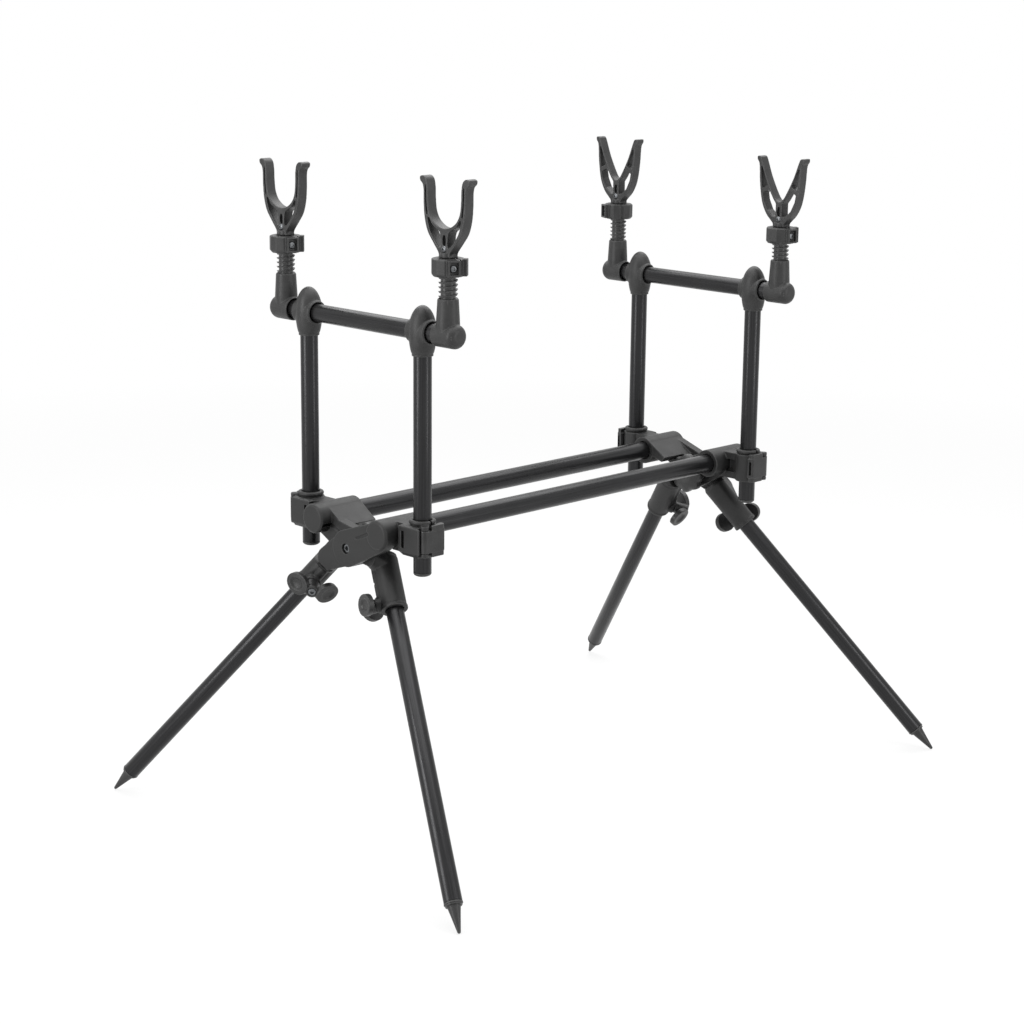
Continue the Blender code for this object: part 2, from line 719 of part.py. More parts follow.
def clamp_lever(side):
    """The lever from its pin: a shoe round the sleeve's outboard half, its free end at -X."""
    height = CLAMP_HEIGHT - 2 * CLAMP_CHEEK - 2 * FIT_GAP
    pin = Vector((CLAMP_PIN_ALONG, CLAMP_PIN_OUT))
    # Drawn about the upright's axis with the outboard face up, and then moved to the pin
    face = LEVER_FACE_OUT
    half = LEVER_HALF_WIDTH
    corner = 0.0022
    round_end = pin.x + LEVER_KNUCKLE / 2 - 0.0004
    outline = [
        (round_end - 0.001, pin.y), (round_end - 0.002, face - 0.0012), (round_end - 0.0042, face),
        (corner - half, face), (-half, face - corner),
        (-half, LEVER_INSIDE), (-CLAMP_PIN_ALONG, LEVER_INSIDE - 0.0006),
    ]
    inside = SLEEVE_DIAMETER / 2 + 2 * FIT_GAP
    outline += [
        (inside * cos(a), inside * sin(a))
        for a in [radians(angle) for angle in (129.0, 116.0, 103.0, 90.0, 77.0)]
    ]
    outline += [(pin.x - 0.0048, pin.y + 0.0004)]
    shoe = extruded([[(x, side * y) for x, y in outline]], -height / 2 + 0.0004, height / 2 - 0.0004)
    tall = extruded(
        [
            [
                (x, side * y)
                for x, y in (
                    (pin.x - 0.0052, pin.y + 0.0018), (pin.x - 0.0052, face - 0.0004),
                    (corner - half + 0.0004, face - 0.0004), (0.0006 - half, face - corner),
                    (0.0006 - half, LEVER_INSIDE + 0.0008), (-inside * 0.60, inside * 0.83),
                    (-inside * 0.32, inside * 0.97), (0.0, inside * 1.022),
                )
            ]
        ],
        -CLAMP_HEIGHT / 2,
        CLAMP_HEIGHT / 2,
    )
    knuckle = moved(cylinder(LEVER_KNUCKLE, -height / 2, height / 2, 10), at(pin.x, side * pin.y, 0))
    bolt = moved(
        cylinder(
            CLAMP_PIN_DIAMETER, -CLAMP_HEIGHT / 2 + 0.0004, CLAMP_HEIGHT / 2 - CLAMP_CHEEK / 2 - FIT_GAP,
            SMALL_SIDES,
        ),
        at(pin.x, side * pin.y, 0),
    )
    low = LEVER_INSIDE + LEVER_POCKET_WALL
    high = face - LEVER_POCKET_WALL
    pocket = box(
        (-half - 0.01, LEVER_POCKET_DEPTH - half),
        tuple(sorted((side * low, side * high))),
        (-CLAMP_HEIGHT / 4, CLAMP_HEIGHT / 4),
    )
    lever = combined(shoe, add=[tall, knuckle, bolt], cut=[pocket], solver="MANIFOLD")
    return moved(lever, at(-pin.x, -side * pin.y, 0))


def leg_tube(leg):
    start = SOCKET_END_WALL + FIT_GAP
    return tube(LEG_DIAMETER, LEG_WALL, start, leg.length - SPIKE_LENGTH)


def leg_spike():
    """The spike from its seat on the tube's end at 0 to its point at -SPIKE_LENGTH."""
    outer = LEG_DIAMETER / 2
    spigot = outer - LEG_WALL - FIT_GAP
    start = -FIT_GAP
    return turned(
        [
            (0.0, SPIGOT_LENGTH),
            (spigot, SPIGOT_LENGTH),
            (spigot, start),
            (outer + 0.0002, start),
            (outer + 0.0002, start - SPIKE_RING * 0.4),
            (outer - 0.0006, start - SPIKE_RING * 0.55),
            (outer - 0.0006, start - SPIKE_RING),
            (SPIKE_POINT / 2, -SPIKE_LENGTH),
            (0.0, -SPIKE_LENGTH),
        ]
    )


def end_plug():
    """The cap in an upright's lower end, whose shoulder is at 0."""
    outer = POST_DIAMETER / 2
    spigot = outer - POST_WALL - FIT_GAP
    return turned(
        [
            (0.0, SPIGOT_LENGTH),
            (spigot, SPIGOT_LENGTH),
            (spigot, -FIT_GAP),
            (outer, -FIT_GAP),
            (outer, -0.0012),
            (outer - 0.002, -0.0032),
            (0.0, -0.0034),
        ]
    )


def wing_knob():
    """Two dished paddles on a hub. Z points away from the leg, whose axis crosses the origin."""
    bore = KNOB_SCREW_DIAMETER + 2 * FIT_GAP
    radius = KNOB_HUB_DIAMETER / 2
    hub = turned(
        [
            (0.0, KNOB_HUB_END),
            (radius - 0.0010, KNOB_HUB_END),
            (radius, KNOB_HUB_END - 0.0010),
            (radius, KNOB_HUB_START),
            (0.0, KNOB_HUB_START),
        ],
        12,
    )
    half_length = PADDLE_LENGTH / 2
    half_width = PADDLE_WIDTH / 2
    flat = bevelled(
        extruded([ellipse((0.0, 0.0), half_length, half_width, 12)], 0.0, PADDLE_THICKNESS), 0.0009
    )
    dish = extruded(
        [ellipse((0.0008, 0.0), half_length - 0.0036, half_width - 0.0026, 10)],
        PADDLE_THICKNESS - PADDLE_DISH,
        PADDLE_THICKNESS + 0.01,
    )
    paddle = combined(flat, cut=[dish])
    wings = []
    for turn in (0.0, pi):
        copy = paddle.copy()
        stand_off = at(PADDLE_ROOT_OUT, 0.0, KNOB_HUB_END - PADDLE_ROOT_DROP)
        sweep = Matrix.Rotation(PADDLE_TILT, 4, "Y") @ at(half_length, 0.0, 0.0)
        wings.append(moved(copy, Matrix.Rotation(turn, 4, "Z") @ stand_off @ sweep))
    through = cylinder(bore, -0.01, KNOB_HUB_END + 0.01, SMALL_SIDES)
    seat = cylinder(KNOB_SCREW_HEAD + 2 * FIT_GAP, KNOB_HUB_END - 0.003, KNOB_HUB_END + 0.01, 10)
    return combined(hub, add=wings, cut=[through, seat])


def knob_screw():
    """The steel screw through a wing knob, which presses on the leg."""
    radius = KNOB_SCREW_DIAMETER / 2
    head = KNOB_SCREW_HEAD / 2
    top = KNOB_HUB_END + 0.0006
    under = KNOB_HUB_END - 0.003 + FIT_GAP
    tip = LEG_DIAMETER / 2 + FIT_GAP
    return turned(
        [
            (0.0, top - 0.0014),
            (0.0018, top - 0.0014),
            (0.0018, top),
            (head - 0.0008, top),
            (head, top - 0.0008),
            (head, under),
            (radius, under),
            (radius, tip + 0.0006),
            (radius - 0.0006, tip),
            (0.0, tip),
        ],
        SMALL_SIDES,
    )


def head_fitting():
    """The egg-shaped head of an upright, about the crossbar's axis."""
    radius = HEAD_DIAMETER / 2
    neck = HEAD_NECK_DIAMETER / 2
    neck_top = HEAD_BELOW - HEAD_NECK_LENGTH
    # The lower half is part of a longer ellipse, which meets the neck's edge
    meet = acos(HEAD_NECK_EDGE / HEAD_DIAMETER)
    reach = neck_top / sin(meet)
    upper = [(radius * cos(a), HEAD_ABOVE * sin(a)) for a in (1.08, 0.62, 0.12)]
    lower = [(radius * cos(a), -reach * sin(a)) for a in (meet * 0.55, meet)]
    egg = turned(
        [
            (0.0, HEAD_ABOVE),
            (radius * 0.2, HEAD_ABOVE - 0.0003),
            *upper,
            *lower,
            (neck, -neck_top - 0.0004),
            (neck, -HEAD_BELOW),
            (0.0, -HEAD_BELOW),
        ]
    )
    half = HEAD_BOSS_LENGTH / 2
    boss = moved(
        turned(
            [
                (0.0, half),
                (HEAD_BOSS_DIAMETER / 2, half),
                (HEAD_BOSS_DIAMETER / 2, -half),
                (0.0, -half),
            ]
        ),
        ALONG_Y,
    )
    crossbar_bore = moved(cylinder(CROSSBAR_DIAMETER + 2 * FIT_GAP, -0.04, 0.04), ALONG_Y)
    post_bore = cylinder(POST_DIAMETER + 2 * FIT_GAP, -HEAD_BELOW - 0.01, -HEAD_POST_STOP)
    return combined(egg, add=[boss], cut=[crossbar_bore, post_bore])


def elbow_fitting():
    """The swivelling elbow on a crossbar's end, outboard towards +Y, stud socket up."""
    radius = ELBOW_DIAMETER / 2
    end = ELBOW_OUTBOARD
    rounding = ELBOW_ROUNDING
    corner = [
        (radius - rounding + rounding * sin(a), end - rounding + rounding * cos(a))
        for a in [pi / 2 * i / 2 for i in range(3)]
    ]
    barrel = moved(
        turned(
            [
                (0.0, end),
                *corner,
                (radius, -ELBOW_INBOARD),
                (0.0, -ELBOW_INBOARD),
            ]
        ),
        ALONG_Y,
    )
    top = ELBOW_BOSS_TOP_DIAMETER / 2
    boss = turned(
        [
            (0.0, ELBOW_BOSS_TOP),
            (top, ELBOW_BOSS_TOP),
            (radius - 0.0004, radius),
            (radius - 0.0006, 0.002),
            (0.0, 0.002),
        ]
    )
    bore_end = ELBOW_OUTBOARD - ELBOW_END_WALL
    crossbar_bore = moved(
        cylinder(CROSSBAR_DIAMETER + 2 * FIT_GAP, -ELBOW_INBOARD - 0.01, bore_end), ALONG_Y
    )
    mouth = moved(
        cylinder(CROSSBAR_DIAMETER + 0.0028, -ELBOW_INBOARD - 0.01, -ELBOW_INBOARD + 0.0012),
        ALONG_Y,
    )
    lowest = STUD_SEAT + min(STUD_SCREWED_OUT.values()) - FIT_GAP
    stud_bore = cylinder(STUD_DIAMETER + 2 * FIT_GAP, lowest, ELBOW_BOSS_TOP + 0.01)
    return combined(barrel, add=[boss], cut=[crossbar_bore, mouth, stud_bore])


def threaded_stud():
    """The stud from its lower end at 0. Its bore takes the rest's spigot."""
    radius = STUD_DIAMETER / 2
    bore = STUD_BORE / 2
    return turned(
        [
            (0.0, STUD_LENGTH - STUD_BORE_DEPTH),
            (bore, STUD_LENGTH - STUD_BORE_DEPTH),
            (bore, STUD_LENGTH),
            (radius - 0.0008, STUD_LENGTH),
            (radius, STUD_LENGTH - 0.0008),
            (radius, 0.0),
            (0.0, 0.0),
        ]
    )


def lock_collar():
    """The faceted lock collar, from its lower face at 0, with a pocketed lug at +X."""
    radius = LOCK_DIAMETER / 2
    ring = turned(
        [
            (0.0, LOCK_HEIGHT),
            (radius - 0.0008, LOCK_HEIGHT),
            (radius, LOCK_HEIGHT - 0.0008),
            (radius, LOCK_CHAMFER),
            (radius - LOCK_CHAMFER, 0.0),
            (0.0, 0.0),
        ],
        LOCK_FACETS,
    )
    half = LOCK_LUG_WIDTH / 2
    lug = box((radius - 0.006, LOCK_LUG_OUT), (-half, half), (0.0012, LOCK_HEIGHT - 0.0006))
    window = box(
        (LOCK_LUG_OUT - LOCK_POCKET_DEPTH, LOCK_LUG_OUT + 0.01),
        (LOCK_POCKET_WALL - half, half - LOCK_POCKET_WALL),
        (LOCK_POCKET_WALL + 0.0012, LOCK_HEIGHT - 0.0006 - LOCK_POCKET_WALL),
    )
    # The plain lug a quarter turn on
    plain = moved(
        box(
            (radius - 0.006, LOCK_LUG_OUT - 0.0006),
            (-half * 0.7, half * 0.7),
            (0.0006, LOCK_HEIGHT - 0.0002),
        ),
        Matrix.Rotation(LOCK_LUG_ANGLE, 4, "Z"),
    )
    bore = cylinder(STUD_DIAMETER + 2 * FIT_GAP, -0.01, LOCK_HEIGHT + 0.01)
    return combined(ring, add=[lug, plain], cut=[bore, window])


def rest_body(half_width, height, outline, pockets, windows):
    """A rod rest. Its outlines are shares of its half width and its height.

    Pockets are sunk in both faces and windows go right through.
    """
    half = REST_DEPTH / 2

    def sized(points):
        return [(x * half_width, y * height) for x, y in points]

    plate = extruded([sized(outline)], -half, half)
    cuts = []
    for points in pockets:
        cuts.append(extruded([sized(points)], half - REST_POCKET, half + 0.005))
        cuts.append(extruded([sized(points)], -half - 0.005, REST_POCKET - half))
    for points in windows:
        cuts.append(extruded([sized(points)], -half - 0.006, half + 0.006))
    spigot = moved(
        cylinder(STUD_BORE - 2 * FIT_GAP, -REST_SPIGOT_LENGTH, REST_DEPTH * 0.4, 16),
        Matrix.Rotation(-pi / 2, 4, "X"),
    )
    shaped = combined(plate, add=[spigot], cut=cuts)
    # Stood up: the outline's X goes across the stand and its Y up
    return moved(shaped, ACROSS)


def u_rest():
    """The front rest: two upright arms over a rounded seat."""
    outer = smooth(
        [
            (0.230, 0.0), (0.240, 0.060), (0.450, 0.175), (0.680, 0.310), (0.800, 0.470),
            (0.842, 0.640), (0.850, 0.850), (0.900, 0.945), (1.000, 0.985),
        ],
        per_span=1,
    )
    inner = smooth(
        [
            (0.985, 1.0), (0.850, 1.000), (0.740, 0.955), (0.690, 0.860), (0.672, 0.700),
            (0.620, 0.560), (0.480, 0.455), (0.240, 0.385), (0.0, 0.362),
        ],
        per_span=1,
    )
    half_outline = outer + inner
    outline = half_outline + mirrored(half_outline[:-1])
    arm_pocket = [
        (0.690, 0.530), (0.735, 0.530), (0.775, 0.660), (0.790, 0.870), (0.750, 0.870), (0.735, 0.680),
    ]
    lower = [
        (0.150, 0.130), (0.300, 0.165), (0.560, 0.310), (0.680, 0.470), (0.610, 0.480),
        (0.480, 0.395), (0.180, 0.310),
    ]
    eye = ellipse((0.0, 0.215), 0.070, 0.072, 8)
    return rest_body(
        U_REST_HALF_WIDTH, U_REST_HEIGHT, outline, [arm_pocket, mirrored(arm_pocket), eye],
        [lower, mirrored(lower)],
    )


def v_rest():
    """The rear rest: two straight arms in a V, with a strut across each arm's opening."""
    outer = smooth(
        [
            (0.250, 0.0), (0.262, 0.050), (0.520, 0.160), (0.700, 0.290), (0.800, 0.440),
            (0.868, 0.650), (0.900, 0.860), (0.940, 0.945), (1.000, 0.985),
        ],
        per_span=1,
    )
    inner = smooth(
        [
            (0.985, 1.0), (0.860, 0.990), (0.790, 0.935), (0.560, 0.690), (0.240, 0.440),
            (0.080, 0.365), (0.0, 0.355),
        ],
        per_span=1,
    )
    half_outline = outer + inner
    outline = half_outline + mirrored(half_outline[:-1])
    upper = [(0.515, 0.585), (0.740, 0.530), (0.782, 0.650), (0.830, 0.850), (0.770, 0.840)]
    lower = [
        (0.140, 0.140), (0.260, 0.145), (0.500, 0.235), (0.660, 0.370), (0.705, 0.470),
        (0.450, 0.525), (0.260, 0.395), (0.140, 0.330),
    ]
    eye = ellipse((0.0, 0.215), 0.070, 0.072, 8)
    windows = [upper, mirrored(upper), lower, mirrored(lower)]
    return rest_body(V_REST_HALF_WIDTH, V_REST_HEIGHT, outline, [eye], windows)


def make_stand():
    stand = joint_frame("stand", None)
    bar_length = 2 * (ROW_X + BARREL_OUTWARD - BARREL_END_WALL - FIT_GAP)
    bar_mesh = main_bar(bar_length)
    for side_name, side in (("left", 1), ("right", -1)):
        place(f"main_bar_{side_name}", bar_mesh, ANODISED, stand, at(0, side * BAR_Y, BAR_HEIGHT))

    nut_seat = ARM_INNER_SIDE - FIT_GAP
    bolt_outer = OUTER_ARM_FACE - BOLT_HEAD_SINK
    bolt_length = bolt_outer - nut_seat + HAND_NUT_DEPTH - BOLT_SHORT_OF_NUT
    brackets = {
        1: bracket(1, OUTER_ARM_FACE, OUTER_LEG),
        -1: bracket(-1, INNER_ARM_FACE, INNER_LEG),
    }
    legs = {1: OUTER_LEG, -1: INNER_LEG}
    leg_tubes = {1: leg_tube(OUTER_LEG), -1: leg_tube(INNER_LEG)}
    bolt_mesh = pivot_bolt(bolt_length)
    nut_mesh = hand_nut()
    levers = {1: clamp_lever(1), -1: clamp_lever(-1)}
    spike_mesh = leg_spike()
    knob_mesh = wing_knob()
    screw_mesh = knob_screw()
    post_low = BAR_HEIGHT - POST_BELOW_BAR
    post_top = CROSSBAR_HEIGHT - HEAD_POST_STOP - FIT_GAP
    post_mesh = tube(POST_DIAMETER, POST_WALL, 0.0, post_top - post_low)
    plug_mesh = end_plug()
    head_mesh = head_fitting()
    crossbar_half = REST_Y + ELBOW_OUTBOARD - ELBOW_END_WALL - FIT_GAP
    crossbar_mesh = moved(
        tube(CROSSBAR_DIAMETER, CROSSBAR_WALL, -crossbar_half, crossbar_half), ALONG_Y
    )
    elbow_mesh = elbow_fitting()
    stud_mesh = threaded_stud()
    collar_mesh = lock_collar()
    rest_meshes = {"front": u_rest(), "rear": v_rest()}

    for end, turn in (("front", pi), ("rear", 0.0)):
        row = Matrix.Rotation(turn, 4, "Z") @ at(ROW_X, 0, 0)
        end_frame = joint_frame(f"{end}_end", stand, row)
        place(f"pivot_bolt_{end}", bolt_mesh, STEEL, end_frame,
              at(bolt_outer, 0, PIVOT_Z) @ ALONG_X)
        place(f"hand_nut_{end}", nut_mesh, KNOBS, end_frame,
              at(nut_seat, 0, PIVOT_Z) @ Matrix.Rotation(-pi / 2, 4, "Y"))
        drop = REAR_GOALPOST_DROP if end == "rear" else 0.0
        goalpost = joint_frame(f"goalpost_{end}", end_frame, at(0, 0, BAR_HEIGHT - drop))
        place(f"crossbar_{end}", crossbar_mesh, ANODISED, goalpost,
              at(0, 0, CROSSBAR_HEIGHT - BAR_HEIGHT))
        for side in (1, -1):
            here = "left" if (side > 0) == (end == "rear") else "right"
            across = "right" if here == "left" else "left"
            leg = legs[side]
            place(f"leg_bracket_{end}_{here}", brackets[side], MOULDED, end_frame)
            place(f"clamp_lever_{end}_{here}", levers[side], KNOBS, end_frame,
                  at(CLAMP_PIN_ALONG, side * (POST_Y + CLAMP_PIN_OUT), BAR_HEIGHT))
            place(f"leg_tube_{end}_{across}", leg_tubes[side], ANODISED, end_frame, leg.frame)
            point = leg.frame @ at(0, 0, leg.length - SPIKE_LENGTH) @ Matrix.Rotation(pi, 4, "X")
            place(f"leg_spike_{end}_{across}", spike_mesh, SPIKES, end_frame, point)
            place(f"wing_knob_{end}_{across}", knob_mesh, KNOBS, end_frame, leg.knob_frame)
            place(f"knob_screw_{end}_{across}", screw_mesh, STEEL, end_frame, leg.knob_frame)

            post_place = at(0, side * POST_Y, post_low - BAR_HEIGHT)
            place(f"upright_{end}_{here}", post_mesh, ANODISED, goalpost, post_place)
            place(f"end_plug_{end}_{here}", plug_mesh, MOULDED, goalpost, post_place)
            place(f"upright_head_{end}_{here}", head_mesh, MOULDED, goalpost,
                  at(0, side * POST_Y, CROSSBAR_HEIGHT - BAR_HEIGHT))

            outboard = Matrix() if side > 0 else Matrix.Rotation(pi, 4, "Z")
            elbow = joint_frame(f"elbow_axis_{end}_{here}", goalpost,
                                at(0, side * REST_Y, CROSSBAR_HEIGHT - BAR_HEIGHT) @ outboard)
            place(f"elbow_{end}_{here}", elbow_mesh, MOULDED, elbow)
            stud_low = STUD_SEAT + STUD_SCREWED_OUT[end, here]
            place(f"stud_{end}_{here}", stud_mesh, THREADED, elbow, at(0, 0, stud_low))
            collar_low = stud_low + STUD_LENGTH + FIT_GAP - LOCK_HEIGHT
            facing = Matrix.Rotation(COLLAR_TURN[end, here] - pi * (side < 0) - turn, 4, "Z")
            place(f"lock_collar_{end}_{here}", collar_mesh, MOULDED, elbow,
                  at(0, 0, collar_low) @ facing)
            rest_low = collar_low + LOCK_HEIGHT + FIT_GAP
            place(f"rod_rest_{end}_{here}", rest_meshes[end], RESTS, elbow, at(0, 0, rest_low))


make_stand()
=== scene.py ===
# %% [markdown]
# A rod stand holds two fishing rods level over the ground. Two tubes run from the front
# to the rear, two rows of uprights carry a crossbar each, and four forked rests stand on
# the crossbars' ends. Everything is black: satin anodised tubes in matt moulded fittings.
#
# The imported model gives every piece's place. This script gives each piece the shape and
# the finish that show from a step away: soft moulded edges, threads, screws and grain.

# %% Loading the frame
import json
from math import acos, atan2, cos, hypot, pi, radians, sin

import bmesh
import bpy
import numpy as np
from mathutils import Matrix, Vector

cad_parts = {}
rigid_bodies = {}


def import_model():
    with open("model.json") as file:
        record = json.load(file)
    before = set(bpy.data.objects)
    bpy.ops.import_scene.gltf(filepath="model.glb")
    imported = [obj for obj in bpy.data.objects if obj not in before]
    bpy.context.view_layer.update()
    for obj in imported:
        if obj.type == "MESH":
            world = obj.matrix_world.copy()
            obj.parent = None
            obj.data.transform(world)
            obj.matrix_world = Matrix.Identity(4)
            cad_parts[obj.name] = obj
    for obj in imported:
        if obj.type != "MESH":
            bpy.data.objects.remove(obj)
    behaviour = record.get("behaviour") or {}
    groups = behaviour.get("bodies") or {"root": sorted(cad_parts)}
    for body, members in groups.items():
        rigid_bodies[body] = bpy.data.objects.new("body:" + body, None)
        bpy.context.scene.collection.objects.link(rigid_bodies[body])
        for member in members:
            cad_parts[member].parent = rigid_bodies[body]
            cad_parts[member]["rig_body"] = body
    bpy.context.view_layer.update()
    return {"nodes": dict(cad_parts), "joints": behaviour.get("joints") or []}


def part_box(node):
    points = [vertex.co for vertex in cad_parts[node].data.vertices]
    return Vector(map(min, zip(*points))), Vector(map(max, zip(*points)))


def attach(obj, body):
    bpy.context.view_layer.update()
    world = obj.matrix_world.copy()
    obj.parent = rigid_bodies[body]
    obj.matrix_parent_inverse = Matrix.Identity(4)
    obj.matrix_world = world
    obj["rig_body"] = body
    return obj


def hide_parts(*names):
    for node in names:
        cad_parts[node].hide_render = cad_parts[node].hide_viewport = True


for old in list(bpy.data.objects):
    bpy.data.objects.remove(old)
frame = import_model()
joints = {joint["name"]: joint for joint in frame["joints"]}

# %% [markdown]
# The stand has two ends, and the front one is the rear one turned half round. So each
# fitting is modelled once, in the rear end's own frame: X points outwards from the row of
# uprights, Y to the left and Z up. The frame's joints say where the legs and pins are.

# %% Where things are
ENDS = {"front": pi, "rear": 0.0}
PLACES = [(end, side) for end in ENDS for side in ("left", "right")]
KNOB_FROM_KNEE = 0.0280


def shown(name, data):
    """A new object with this data, put in the scene."""
    made = bpy.data.objects.new(name, data)
    bpy.context.scene.collection.objects.link(made)
    return made


def at(x, y, z):
    return Matrix.Translation((x, y, z))


def middle(node):
    low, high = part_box(node)
    return (Vector(low) + Vector(high)) / 2


def span(node, origin, axis):
    """How far a node's points reach along an axis, from the origin given."""
    mesh = frame["nodes"][node].data
    points = np.empty(len(mesh.vertices) * 3, np.float32)
    mesh.vertices.foreach_get("co", points)
    along = (points.reshape(-1, 3) - np.array(origin)) @ np.array(axis)
    return float(along.min()), float(along.max())


def joint_place(name):
    return Vector(joints[name]["pos_m"])


def sign(end, side):
    """Which side of its end's own frame a piece is on: 1 at +Y and -1 at -Y."""
    return 1 if (side == "left") == (end == "rear") else -1


def leg_frame(end, side):
    """Z runs down the leg from its socket's top, and X along its knob's screw."""
    down = Vector(joints[f"leg_length_{end}_{side}"]["axis"]).normalized()
    out = Vector(joints[f"knob_turn_{end}_{side}"]["axis"])
    out = (out - out.dot(down) * down).normalized()
    turn = Matrix((out, down.cross(out), down)).transposed().to_4x4()
    knee = joint_place(f"knob_turn_{end}_{side}") - down * KNOB_FROM_KNEE
    return Matrix.Translation(knee) @ turn


row_x = middle("upright_rear_left").x
post_y = middle("upright_rear_left").y
bar_y = middle("main_bar_left").y
bar_z = middle("main_bar_left").z
pivot_z = joint_place("hand_nut_turn_rear").z
end_frame = {end: Matrix.Rotation(turn, 4, "Z") @ at(row_x, 0, 0) for end, turn in ENDS.items()}
print("row of uprights at", round(row_x, 4), "bars at height", round(bar_z, 4))

# %% [markdown]
# The camera stands where the photographer stood: in front, to the right, a little above.
# Its place and its angles were found by fitting the stand's straight lines to the picture.

# %% Camera
FOCAL_PIXELS = 2293.2
FRAME_PIXELS = 1024
SENSOR_WIDTH = 36.0
CAMERA_PLACE = (-1.52765, -1.50203, 0.77540)
CAMERA_HEADING = 0.788953
CAMERA_DIP = 0.235796
CAMERA_ROLL = 0.009942

heading = Vector((cos(CAMERA_HEADING), sin(CAMERA_HEADING), 0.0))
forward = heading * cos(CAMERA_DIP) - Vector((0, 0, sin(CAMERA_DIP)))
level = Vector((heading.y, -heading.x, 0.0))
upward = level.cross(forward)
right_hand = level * cos(CAMERA_ROLL) + upward * sin(CAMERA_ROLL)
upward = upward * cos(CAMERA_ROLL) - level * sin(CAMERA_ROLL)
lens = bpy.data.cameras.new("studio_camera")
lens.sensor_width = SENSOR_WIDTH
lens.lens = FOCAL_PIXELS / FRAME_PIXELS * SENSOR_WIDTH
lens.clip_end = 100.0
camera = shown("studio_camera", lens)
turn = Matrix((right_hand, upward, -forward)).transposed().to_4x4()
camera.matrix_world = Matrix.Translation(CAMERA_PLACE) @ turn
bpy.context.scene.camera = camera
bpy.context.scene.view_settings.view_transform = "Standard"
print("lens", round(lens.lens, 1), "mm")

# %% [markdown]
# A shader is a small network of nodes. One helper adds a node with its settings and its
# links, so that a material reads as a list of what it is made of. Colours are written as
# the hex codes that a colour picker shows, and turned to the linear values that light needs.

# %% Node helper and colours


def add(tree, kind, inputs=None, **settings):
    """A node in the tree. An input takes a value, another node or one of its outputs."""
    node = tree.nodes.new(kind)
    for name, value in settings.items():
        setattr(node, name, value)
    for key, value in (inputs or {}).items():
        if isinstance(value, bpy.types.Node):
            value = value.outputs[0]
        if isinstance(value, bpy.types.NodeSocket):
            tree.links.new(value, node.inputs[key])
        else:
            node.inputs[key].default_value = value
    return node


def linear(code):
    """A hex colour as linear red, green, blue and alpha."""
    channels = [int(code[i:i + 2], 16) / 255 for i in (1, 3, 5)]
    return (*[c / 12.92 if c <= 0.04045 else ((c + 0.055) / 1.055) ** 2.4 for c in channels], 1.0)


def new_material(name):
    made = bpy.data.materials.new(name)
    made.use_nodes = True
    made.node_tree.nodes.clear()
    return made, made.node_tree


# %% [markdown]
# The tubes are drawn aluminium, brushed along their length and anodised black. The dye
# sits in a clear oxide layer, so the surface is dark, satin and a little metallic, and the
# fine draw lines stretch its reflections along the tube. The lines are noise squeezed to
# a fraction of a millimetre round the tube and stretched to centimetres along it. Every
# tube stores its own straight coordinates for this, so the lines follow a sloping leg too.

# %% Anodised aluminium
DRAW_LINE_WIDTH = 0.00035
DRAW_LINE_LENGTH = 0.060
DRAW_LINE_DEPTH = 0.00005
HANDLING_MARK = 0.018


def anodised_aluminium():
    made, tree = new_material("anodised_aluminium_black")
    place = add(tree, "ShaderNodeAttribute", attribute_name="tube_space").outputs["Vector"]
    squeeze = (1 / DRAW_LINE_WIDTH, 1 / DRAW_LINE_WIDTH, 1 / DRAW_LINE_LENGTH)
    along = add(tree, "ShaderNodeMapping", {"Vector": place, "Scale": squeeze})
    lines = add(tree, "ShaderNodeTexNoise", {"Vector": along, "Scale": 1.0, "Detail": 3.0})
    marks = add(tree, "ShaderNodeTexNoise", {"Vector": place, "Scale": 1 / HANDLING_MARK, "Detail": 4.0})
    colour = add(tree, "ShaderNodeValToRGB", {"Fac": lines})
    colour.color_ramp.elements[0].position = 0.3
    colour.color_ramp.elements[0].color = linear("#202021")
    colour.color_ramp.elements[1].position = 0.75
    colour.color_ramp.elements[1].color = linear("#363637")
    rough = add(tree, "ShaderNodeMapRange", {
        "Value": marks, "From Min": 0.3, "From Max": 0.7, "To Min": 0.27, "To Max": 0.35,
    })
    bump = add(tree, "ShaderNodeBump", {"Height": lines, "Strength": 0.12, "Distance": DRAW_LINE_DEPTH})
    shader = add(tree, "ShaderNodeBsdfPrincipled", {
        "Base Color": colour, "Roughness": rough, "Normal": bump, "Metallic": 0.75,
    })
    add(tree, "ShaderNodeOutputMaterial", {"Surface": shader})
    return made


# %% [markdown]
# The fittings are glass-filled nylon, injection moulded in spark-eroded steel tools. The
# eroded steel leaves a fine even grain, and the filler clouds the black a little, which
# gives the eye a soft grey sheen without any clear reflection. Real grain is about a
# tenth of a millimetre, too fine for the render, so it is drawn near half a millimetre.

# %% Moulded nylon
NYLON_GRAIN = 0.00045
NYLON_GRAIN_DEPTH = 0.00012
NYLON_CLOUD = 0.011


